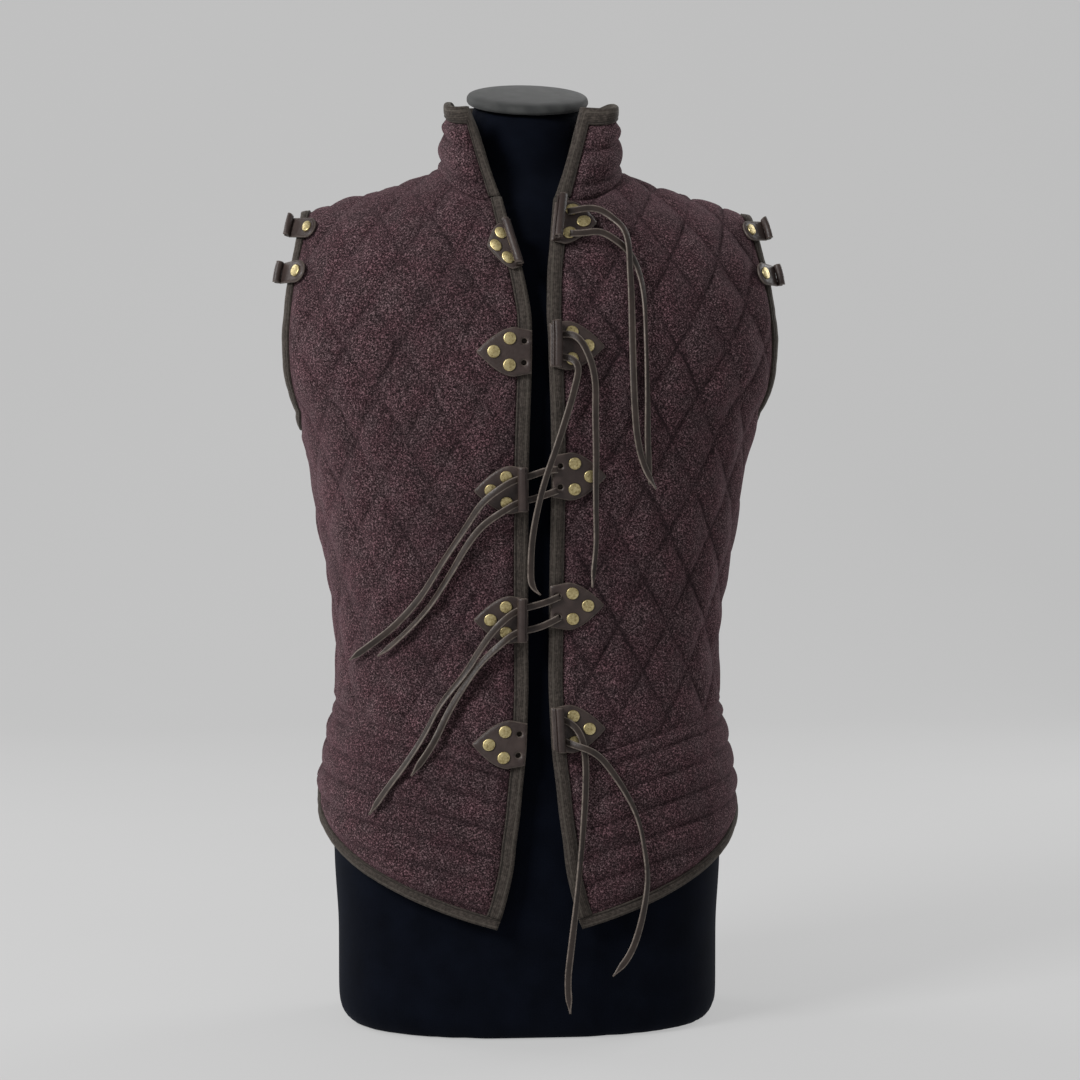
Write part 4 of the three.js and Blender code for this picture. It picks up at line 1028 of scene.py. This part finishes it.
def flat_area(outline):
    x, y = outline[:, 0], outline[:, 1]
    return abs(np.sum(x * np.roll(y, -1) - y * np.roll(x, -1))) / 2 * METRE ** 2


def quilted_panel(node, outline, place, pattern, material, seed, tight=1.0, folds=None, full_foot=0):
    outside = quilted(outline, pattern, seed, tight, folds, full_foot)
    piece = sheet_mesh(node + "_quilt", outline, place, plain(0), outside, 2.3, 9, [material])
    soft_piece(piece, node, flat_area(outline))


right_front = front_outline()
quilted_panel("front_right", right_front, FRONT.worn, diamonds, WOOL, 1, 1.0, creased)
quilted_panel("front_left", mirrored(right_front), FRONT.worn, diamonds, WOOL_FAINT_GROOVE_SHADE, 2, 0.72, creased)
quilted_panel("back", whole(body_half(BACK, 0.0)), BACK.worn, diamonds, WOOL, 3)


def skirt_place(face):
    return lambda s, down, lift: face.worn(s, face.waist_seam(s) - down, lift)


def skirt_half(face, start):
    side = face.side_seam(WAIST["side"]) - 0.1

    def depth(s):
        return face.waist_seam(s) - face.hem(s) - BIND["hem"]
    down = np.linspace(0.1, depth(side), 24)
    sides = np.column_stack([face.side_seam(face.waist_seam(side) - down) - 0.1, down])
    s = np.linspace(start(0.1), sides[0, 0], 60)[:-1]
    top = np.column_stack([s, np.full(len(s), 0.1)])
    s = np.linspace(sides[-1, 0], start(float(depth(start(110)))), 60)[1:]
    hem = np.column_stack([s, depth(s)])
    return np.concatenate([top, sides, hem])


def front_skirt_outline():
    def start(down):
        s = 30.0
        for _ in range(4):
            s = float(front_edge(FRONT.waist_seam(s) - down)) + BIND["front"]
        return s
    half = skirt_half(FRONT, start)
    down = np.linspace(half[-1, 1], 0.1, 40)[1:-1]
    edge = np.column_stack([[start(d) for d in down], down])
    return np.concatenate([half, edge])[::-1]


right_skirt = front_skirt_outline()
quilted_panel("skirt_right", right_skirt, skirt_place(FRONT), channels, WOOL_SKIRT, 4)
quilted_panel("skirt_left", mirrored(right_skirt), skirt_place(FRONT), channels, WOOL_SKIRT, 5)
back_skirt = whole(skirt_half(BACK, lambda down: 0.0)[::-1])
quilted_panel("skirt_back", back_skirt, skirt_place(BACK), channels, WOOL_SKIRT, 6)


# ---- collar ----

def neck_points():
    back = neckline(BACK, 0.0, 10)
    front = neckline(FRONT, float(front_edge(FRONT_NECK_UP)), 10)[::-1]
    points = [BACK.even(back[:, 0], back[:, 1]), FRONT.even(front[1:, 0], front[1:, 1])]
    return catmull_rom(np.concatenate(points), 60)


NECK_LINE = neck_points()
NECK_REACH = reach_along(NECK_LINE)
NECK_HALF = NECK_REACH[-1]


def neck_at(s):
    return np.stack([np.interp(np.abs(s), NECK_REACH, NECK_LINE[:, k]) for k in range(3)], -1)


def collar_lean(s):
    k = power((np.abs(s) - NECK_HALF) / LEAN["reach"] + 1, 1.6)
    x = mix(-LEAN["inwards"] * np.minimum(np.abs(s) / 100, 1), LEAN["x"], k)
    lean = np.stack([x, mix(LEAN["backwards"], LEAN["y"], k), np.ones_like(k)], -1)
    dip = 0.07 * smooth(np.abs(s), 30, 110) * (1 - smooth(np.abs(s), 150, 215))
    return unit(lean), 1 + (COLLAR["rise"] + 0.05) * k - dip


def collar_surface(s, up):
    s, up = np.broadcast_arrays(np.asarray(s, float), np.asarray(up, float))
    lean, stretch = collar_lean(s)
    foot = neck_at(s)
    point = foot + lean * (stretch * up)[..., None]
    swing = np.where(foot[..., 1] < 0, neck_swing(foot[..., 0], foot[..., 2]), 0)
    point[..., 0] = np.where(s < 0, -point[..., 0], point[..., 0]) - swing
    return point


def collar_place(s, up, lift):
    return lifted(collar_surface, s, up, lift, -1, 0)


def collar_start(s, thickness):
    along = neck_at(np.abs(s) + 0.5) - neck_at(np.abs(s) - 0.5)
    along /= np.maximum(np.linalg.norm(along, axis=-1, keepdims=True), 1e-9)
    lean, _ = collar_lean(s)
    slope = mix(1, 0.45, np.clip((np.abs(s) - NECK_HALF + 30) / 30, 0, 1))
    square = np.sqrt(1 - np.sum(along * lean, axis=-1) ** 2)
    return thickness * slope / square


def collar_outline():
    end = NECK_HALF - BIND["collar"]
    top = COLLAR["height"] - BIND["collar"] - 0.4
    s = np.linspace(0, end, 80)
    foot = np.column_stack([s, collar_start(s, CLOTH)])
    rise = np.linspace(foot[-1, 1], top, 12)[1:]
    edge = np.column_stack([np.full(len(rise), end), rise])
    s = np.linspace(end, 0, 80)[1:]
    return whole(np.concatenate([foot, edge, np.column_stack([s, np.full(len(s), top)])]))


def collar_cloth(s, up, lift):
    """The collar's cloth, whose outside rolls down over the seam at its foot."""
    above = np.maximum(up - collar_start(s, CLOTH), 0)
    drop = mix(0.2, 0.6, smooth(np.abs(s), 140, NECK_HALF)) * np.clip(lift, 0, 7) * np.exp(-above / 4)
    return collar_place(s, up - drop, lift)


quilted_panel("collar", collar_outline(), collar_cloth, collar_puffs, WOOL_COLLAR, 7, full_foot=20)


# ---- bindings ----

BINDING_PROFILE = [  # across the strip, lift off the cloth's inside
    (0.02, 0), (0, 1.2), (-0.01, 3.2), (0.01, 4.6), (0.06, 5.6), (0.15, 6.15), (0.3, 6.35),
    (0.48, 6.35), (0.62, 6.25), (0.72, 6.1), (0.78, 5.5), (0.81, 5.45), (0.86, 5.9), (0.93, 5.85),
    (0.985, 5.3), (1.01, 4.2), (1.0, 0),
]
uneven = ripple(21, 26)
tape_roll = ripple(23, 9)


def binding(name, node, outer, inner, place, end_to_start=False, seed=0):
    """A folded strip between two edges given in pattern points."""
    outer, inner = np.asarray(outer), np.asarray(inner)
    reach = reach_along(place(*((outer + inner) / 2).T, np.full(len(outer), 5.0)))
    profile = np.array(BINDING_PROFILE) * (12, 1)
    round_it = reach_along(profile)
    rings, pattern = [], []
    for (across, lift), run in zip(BINDING_PROFILE, round_it):
        sag = 0.22 * uneven(reach + seed * 90, 0) + 0.10 * tape_roll(reach + seed * 70, 0)
        points = mix(outer, inner, across)
        height = lift + sag * min(lift / 4, 1) * (across > 0)
        rings.append(place(points[:, 0], points[:, 1], height))
        pattern.append(np.column_stack([reach, np.full(len(reach), run), 0 * reach]))
    positions = np.stack(rings, 1).reshape(-1, 3)
    faces = tube_faces(len(outer), len(BINDING_PROFILE), True, end_to_start)
    piece = new_piece(name, positions, faces, [TWILL])
    pattern_layer(piece, np.stack(pattern, 1).reshape(-1, 3))
    outwards(piece)
    soft_piece(piece, node, None)
    return piece


def both_sides(name, outer, inner, place, end_to_start=False, seed=0):
    for side, turn in ("right", (1, 1)), ("left", (-1, 1)):
        node = f"{name}_{side}"
        binding(node + "_tape", node, outer * turn, inner * turn, place, end_to_start, seed)
        seed += 1


def front_strip():
    start = float(FRONT.hem(front_edge(110.0))) + BIND["hem"] + 0.3
    t = np.linspace(start, FRONT_NECK_UP, 240)
    s = front_edge(t)
    rise = np.maximum((start + 60 - t) / 60, 0) * (FRONT.hem(s + BIND["front"]) - FRONT.hem(s))
    return np.column_stack([s, t]), np.column_stack([s + BIND["front"], t + rise])


both_sides("binding_front", *front_strip(), FRONT.worn, seed=1)


def over_faces(*stretches):
    """Places rows of pattern points whose stretches are on the front and the back in turn."""
    ends = np.cumsum([len(stretch) for stretch in stretches])

    def place(s, t, lift):
        parts = zip(*(np.split(values, ends[:-1]) for values in (s, t, lift)))
        faces = [FRONT, BACK, FRONT][:len(stretches)]
        return np.concatenate([face.worn(*part) for face, part in zip(faces, parts)])
    return place


def hem_strip():
    def rows(face, start, count):
        s = np.linspace(start, float(face.side_seam(HEM["side"])), count)
        return np.column_stack([s, face.hem(s)])
    front = rows(FRONT, float(front_edge(100)), 130)
    back = rows(BACK, 0.0, 120)[::-1][1:]
    behind = np.concatenate([back, mirrored(back)[1:]])
    outer = np.concatenate([front, behind, mirrored(front)])
    inner = outer + (0, BIND["hem"])
    for end, side in ((0, 1), (-1, -1)):
        outer[end, 0] = side * front_edge(outer[end, 1])
        inner[end, 0] = side * front_edge(inner[end, 1])
    return outer, inner, over_faces(front, behind, front)


binding("binding_hem_tape", "binding_hem", *hem_strip(), seed=3)


def armhole_strip():
    front_outer, front_inner = armhole_edge(FRONT)
    back_outer, back_inner = (edge[::-1][1:-1] for edge in armhole_edge(BACK))
    outer = np.concatenate([front_outer, back_outer])
    inner = np.concatenate([front_inner, back_inner])
    return outer, inner, over_faces(front_outer, back_outer)


both_sides("binding_armhole", *armhole_strip(), end_to_start=True, seed=5)


def collar_strip():
    height, width = COLLAR["height"], BIND["collar"]
    foot = float(collar_start(np.array(NECK_HALF), 5.5))
    t = np.linspace(foot, height - width - 3, 30)
    s = np.linspace(NECK_HALF - width - 3, 0, 110)
    edges = []
    for inset in (0, width):
        end, top = NECK_HALF - inset, height - inset
        half = np.concatenate([np.column_stack([np.full(len(t), end), t]), [(end, top)],
                               np.column_stack([s, np.full(len(s), top)])])
        edges.append(np.concatenate([half, mirrored(half)[1:]]))
    return edges


binding("binding_collar_tape", "binding_collar", *collar_strip(), collar_place, seed=8)


# ---- leather tabs and rivets ----

def ring(centre, radius, count):
    angle = np.arange(count) / count * 2 * math.pi
    return np.array(centre) + radius * np.column_stack([np.cos(angle), np.sin(angle)])


def joined_piece(name, parts, material, node=None):
    """One piece from (points, faces, pattern) parts."""
    positions, faces, pattern, start = [], [], [], 0
    for points, part_faces, values in parts:
        positions.append(points)
        faces += [[start + i for i in f] for f in part_faces]
        pattern.append(values)
        start += len(points)
    piece = new_piece(name, np.concatenate(positions), faces, [material])
    pattern_layer(piece, np.concatenate(pattern))
    outwards(piece)
    ride(piece, node)
    return piece


RIVET_PROFILE = [  # radius, lift off the cloth's inside
    (5.3, 10.4), (5.35, 11.4), (5.2, 11.85), (4.8, 12.15), (4.2, 12.2), (3.2, 12.35), (1.8, 12.48),
    (0.15, 12.55),
]


def rivet_part(place, centre):
    count = 20
    rings = [place(*ring(centre, r, count).T, np.full(count, lift)) for r, lift in RIVET_PROFILE]
    points = np.concatenate(rings)
    return points, tube_faces(len(rings), count), np.tile([0.0, 0.0, 9.0], (len(points), 1))


def plate_part(outline, place, holes=()):
    """A leather plate with rounded edges."""
    outline = densified(outline, 1.2)
    holes = [densified(hole, 0.9) for hole in holes]
    top, faces = filled(outline, holes, 2.0)
    gap = np.min([edge_distance(top, loop) for loop in (outline, *holes)], axis=0)
    round_off = 0.9 * (1 - smooth(gap, 0, 1.1)) ** 1.5
    upper = TAB_TOP - round_off
    lower = TAB_LIFT + 0.35 * (1 - smooth(gap, 0, 1.0))
    positions = np.concatenate([place(*top.T, upper), place(*top.T, lower)])
    values = np.column_stack([top, gap])
    faces = closed_faces(faces, faces, len(top), [outline, *holes])
    return positions, faces, np.concatenate([values, values])


def roll_part(place, roll, reach=1):
    """The tab's end curled round into a roll: a thick spiral skin seen from its ends."""
    out, radius, half_length = roll["out"] * reach, roll["radius"], roll["half_length"]
    middle = TAB_TOP + roll["clear"] + radius
    angles = np.linspace(-0.5, 0.36, 26) * 2 * math.pi
    turn = np.column_stack([np.cos(angles), np.sin(angles)])
    section = np.concatenate([radius * turn, (radius - 2) * turn[::-1]]) + (out, middle)
    rows = np.linspace(-half_length, half_length, 20)
    rings, pattern = [], []
    for up in rows:
        bow = 0.5 * math.cos(up / half_length * math.pi / 2)
        rings.append(place(section[:, 0], np.full(len(section), up), section[:, 1] + bow))
        pattern.append(np.tile([up, 0, half_length - abs(up)], (len(section), 1)))
    return np.concatenate(rings), tube_faces(len(rows), len(section)), np.concatenate(pattern)


def wall_part(place, out, up):
    """A strip of leather that joins a roll to its tab."""
    low, high = TAB_TOP - 1, TAB_TOP + 6.5
    section = np.array([(out - 2.4, low), (out + 2.4, low), (out + 2.4, high), (out - 2.4, high)])
    rings = [place(section[:, 0], np.full(4, up + d), section[:, 1]) for d in (-1.2, 1.2)]
    return np.concatenate(rings), tube_faces(2, 4), np.tile([0.0, 0.0, 5.0], (8, 1))


CLASP_RIVETS = [(19, 11), (32, 0), (19, -11)]
CLASP_EYELETS = [(7, 9), (7, -9)]
CLASP_EYELET = 2.3
CLASP_ROLL = {"out": 6, "radius": 4, "half_length": 19, "clear": 4.9, "walls": (-17.5, 0, 17.5)}
SLEEVE_TAB = {"length": 27, "half_width": 10, "rivet": 17, "inside": 6}
SLEEVE_ROLL = {"out": -5.5, "radius": 3.4, "half_length": 9, "clear": -0.8}
TAB_TOP = TAB_LIFT + TAB_THICK


def clasp_outline(reach):
    """Out from the front edge and up from the clasp's middle."""
    below = [(0.5, -18), (8, -19.3), (14.5, -20.5), (17, -20.5), (24, -18.3), (32, -13.4),
             (39.5, -7.0), (45.6, -0.9)]
    lower = np.concatenate([below[:2], catmull_rom(below[2:], 6)])
    return np.concatenate([lower, (lower * (1, -1))[::-1]]) * (reach, 1)


def clasp(side, name, height, rolled, reach, tilt):
    middle = height
    if height > CHEST:
        middle = float(FRONT.up_at_height(float(front_edge(height)), height))

    def place(out, up, lift):
        turned_out = out * math.cos(tilt) - up * math.sin(tilt)
        turned_up = up * math.cos(tilt) + out * math.sin(tilt)
        t = middle + turned_up
        return FRONT.worn(side * (front_edge(middle + up) + turned_out), t, lift)
    holes = [] if rolled else [ring(centre, CLASP_EYELET, 16) for centre in CLASP_EYELETS]
    parts = [plate_part(clasp_outline(reach), place, holes)]
    if rolled:
        parts.append(roll_part(place, CLASP_ROLL, reach))
        parts += [wall_part(place, CLASP_ROLL["out"] * reach, up) for up in CLASP_ROLL["walls"]]
    joined_piece(name + "_leather", parts, LEATHER, name)
    rivets = [rivet_part(place, (out * reach, up)) for out, up in CLASP_RIVETS]
    joined_piece(name + "_rivets", rivets, BRASS)


for number, left, right, left_rolled, right_rolled in CLASPS:
    for sign, side, at, rolled in (-1, "left", left, left_rolled), (1, "right", right, right_rolled):
        reach = SHORT_CLASPS.get(f"{side}_{number}", 1)
        clasp(sign, f"clasp_{side}_{number}", at, rolled, reach, RNG.uniform(-0.03, 0.03))


def sleeve_tab(side, name, along):
    outer, inner = armhole_edge(FRONT, 16)
    i = round(along * 16)
    start, inward = outer[i], inner[i] - outer[i]
    inward = inward / np.linalg.norm(inward)

    def place(out, up, lift):
        s = start[0] + inward[0] * out + inward[1] * up
        t = start[1] + inward[1] * out - inward[0] * up
        return FRONT.worn(side * s, t, lift)
    angle = np.radians(np.linspace(-90, 90, 14))
    length, half, inside = SLEEVE_TAB["length"], SLEEVE_TAB["half_width"], SLEEVE_TAB["inside"]
    round_end = np.column_stack([length + half * (np.cos(angle) - 1), half * np.sin(angle)])
    outline = np.concatenate([[(-inside, 1 - half)], round_end, [(-inside, half - 1)]])
    parts = [plate_part(outline, place), roll_part(place, SLEEVE_ROLL)]
    joined_piece(name + "_leather", parts, LEATHER, name)
    joined_piece(name + "_rivet", [rivet_part(place, (SLEEVE_TAB["rivet"], 0))], BRASS)


for position, along in (("shoulder", 0.88), ("upper", 0.69)):
    sleeve_tab(1, f"sleeve_tab_{position}_right", along)
    sleeve_tab(-1, f"sleeve_tab_{position}_left", along)


# ---- dress form ----

FORM = {"inset": 9, "drop": 11, "shoulder": 188, "foot": 0.95}
NECK_RINGS = [  # height, depth, radius, tilt
    (680, -12, 68, 0), (735, -9, 58, 0.1), (775, -6, 53, 0.22), (821, -5, 51, 0.3),
]
CAP_RINGS = [  # rise above the neck, radius
    (0.3, 52.2), (1.2, 53.6), (3, 54.6), (6, 54.4), (8.4, 52.8), (9.8, 49), (10.6, 42), (11.3, 25),
    (11.6, 4),
]


def form_ring(level, degrees, quarter=20):
    height = max(level, SECTIONS[0][0])
    points = []
    for face, side, order in ((FRONT, 1, 1), (BACK, 1, -1), (BACK, -1, 1), (FRONT, -1, -1)):
        part = np.arange(quarter + 1)[::order] / quarter
        angle = part * math.pi / 2
        x = width_at(height) * power(np.sin(angle), 2 / ROUNDNESS)
        depth = face.depth_at(height) * power(np.cos(angle), 2 / ROUNDNESS)
        foot = mix(FORM["foot"], 1, smooth(level, -4, 16))
        form_x = x * (1 - FORM["inset"] / width_at(height)) * foot
        form_y = depth * (1 - FORM["inset"] / face.depth_at(height)) * foot
        ridge_x = x / width_at(height) * FORM["shoulder"]
        up = math.radians(degrees)
        k = math.sin(up) ** (2 / CROWN) if degrees > 0 else 0
        y = face.sign * form_y * max(math.cos(up), 0) ** (2 / CROWN)
        rise = ridge_height(ridge_x) - FORM["drop"] - level
        z = level + (rise * k if degrees > 0 else 0 * rise)
        points.append(np.column_stack([side * mix(form_x, ridge_x, k * k), y, z])[:-1])
    return np.concatenate(points)


def neck_ring(height, y, radius, tilt, count=48):
    angle = np.arange(count) / count * 2 * math.pi
    b = radius * np.sin(angle)
    return np.column_stack([radius * np.cos(angle), y + b, height + tilt * b])


def between(rings, count):
    at, k = np.arange(len(rings)), np.linspace(0, len(rings) - 1, count)
    return np.column_stack([np.interp(k, at, column) for column in np.array(rings, float).T])


def smoothed(piece, cell, rounds):
    """Joins a piece's closed parts into one skin and evens it out."""
    remesh = piece.modifiers.new("remesh", "REMESH")
    remesh.mode = "VOXEL"
    remesh.voxel_size = cell
    even = piece.modifiers.new("even", "SMOOTH")
    even.factor = 0.5
    even.iterations = rounds
    done = bpy.data.meshes.new_from_object(piece.evaluated_get(bpy.context.evaluated_depsgraph_get()))
    piece.modifiers.clear()
    piece.data = done
    done.polygons.foreach_set("use_smooth", [True] * len(done.polygons))


def dress_form():
    levels = [0, 2, 5, 9, 14, 20, *np.linspace(30, CHEST, 40)]
    rings = [form_ring(level, 0) for level in levels]
    rings += [form_ring(CHEST, degrees) for degrees in np.linspace(4, 90, 30)]
    points = np.concatenate(rings)
    around = len(rings[0])
    trunk = points, tube_faces(len(rings), around), np.zeros((len(points), 3))
    neck = catmull_rom(between(NECK_RINGS, 4), 6)
    neck_points = np.concatenate([neck_ring(*row) for row in neck])
    neck_part = neck_points, tube_faces(len(neck), 48), np.zeros((len(neck_points), 3))
    body = joined_piece("form", [trunk, neck_part], JERSEY, "form_torso")
    smoothed(body, 0.006, 12)
    height, y, _, tilt = NECK_RINGS[-1]
    rows = catmull_rom(np.array([(height + rise, y, radius, tilt) for rise, radius in CAP_RINGS]), 3)
    cap_points = np.concatenate([neck_ring(*row) for row in rows])
    cap_part = cap_points, tube_faces(len(rows), 48), np.zeros((len(cap_points), 3))
    joined_piece("form_cap_cloth", [cap_part], CAP, "form_cap")


dress_form()


# ---- floor and light ----

def floor_material():
    n = Nodes("floor")
    speckle = n.noise(n.object_place(), 3, 2)
    n.set(Base_Color=n.blend(speckle, (0.165, 0.165, 0.165), (0.175, 0.175, 0.175)), Roughness=0.9)
    n.set(Specular_IOR_Level=0.0, Emission_Color=(1, 1, 1, 1), Emission_Strength=0.415)
    return n.material


def backdrop():
    """A floor that turns up into a wall behind the part."""
    flat, bend, half_width = 2500, 1500, 7000
    profile = [(y, 0.0) for y in np.linspace(-6000, flat, 12)]
    for angle in np.linspace(0.1, math.pi / 2, 14):
        profile.append((flat + bend * math.sin(angle), bend - bend * math.cos(angle)))
    profile += [(flat + bend, z) for z in (2200, 3200, 4500, 6000)]
    points = [(x, y, z) for y, z in profile for x in (-half_width, half_width)]
    faces = [(2 * i, 2 * i + 1, 2 * i + 3, 2 * i + 2) for i in range(len(profile) - 1)]
    piece = new_piece("floor", points, faces, [floor_material()])
    piece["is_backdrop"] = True


def area_light(name, place, aim, size, power, colour=(1, 1, 1)):
    data = bpy.data.lights.new(name, "AREA")
    data.shape = "RECTANGLE"
    data.size, data.size_y = size
    data.energy = power
    data.color = colour
    light = bpy.data.objects.new(name, data)
    light.location = place
    light.rotation_euler = (Vector(aim) - Vector(place)).to_track_quat("-Z", "Y").to_euler()
    bpy.context.scene.collection.objects.link(light)


def studio():
    world = bpy.data.worlds.new("studio")
    world.use_nodes = True
    world.node_tree.nodes["Background"].inputs["Color"].default_value = (1, 1, 1, 1)
    world.node_tree.nodes["Background"].inputs["Strength"].default_value = 0.35
    bpy.context.scene.world = world
    area_light("key", (-2.3, -1.9, 2.1), (0, 0, 0.5), (1.1, 1.1), 104)
    area_light("fill", (2.2, -2.4, 1.2), (0, 0, 0.4), (1.8, 1.8), 6)
    area_light("rim_left", (-2.0, 1.4, 1.6), (0, 0, 0.5), (1.2, 1.8), 26)
    area_light("rim_right", (2.0, 1.4, 1.6), (0, 0, 0.5), (1.2, 1.8), 30)
    bpy.context.scene.view_settings.view_transform = "Standard"


backdrop()
studio()

boxes = {"cad": cad_box, "visual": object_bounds()}
{key: [[float(v) for v in corner] for corner in value] for key, value in boxes.items()}
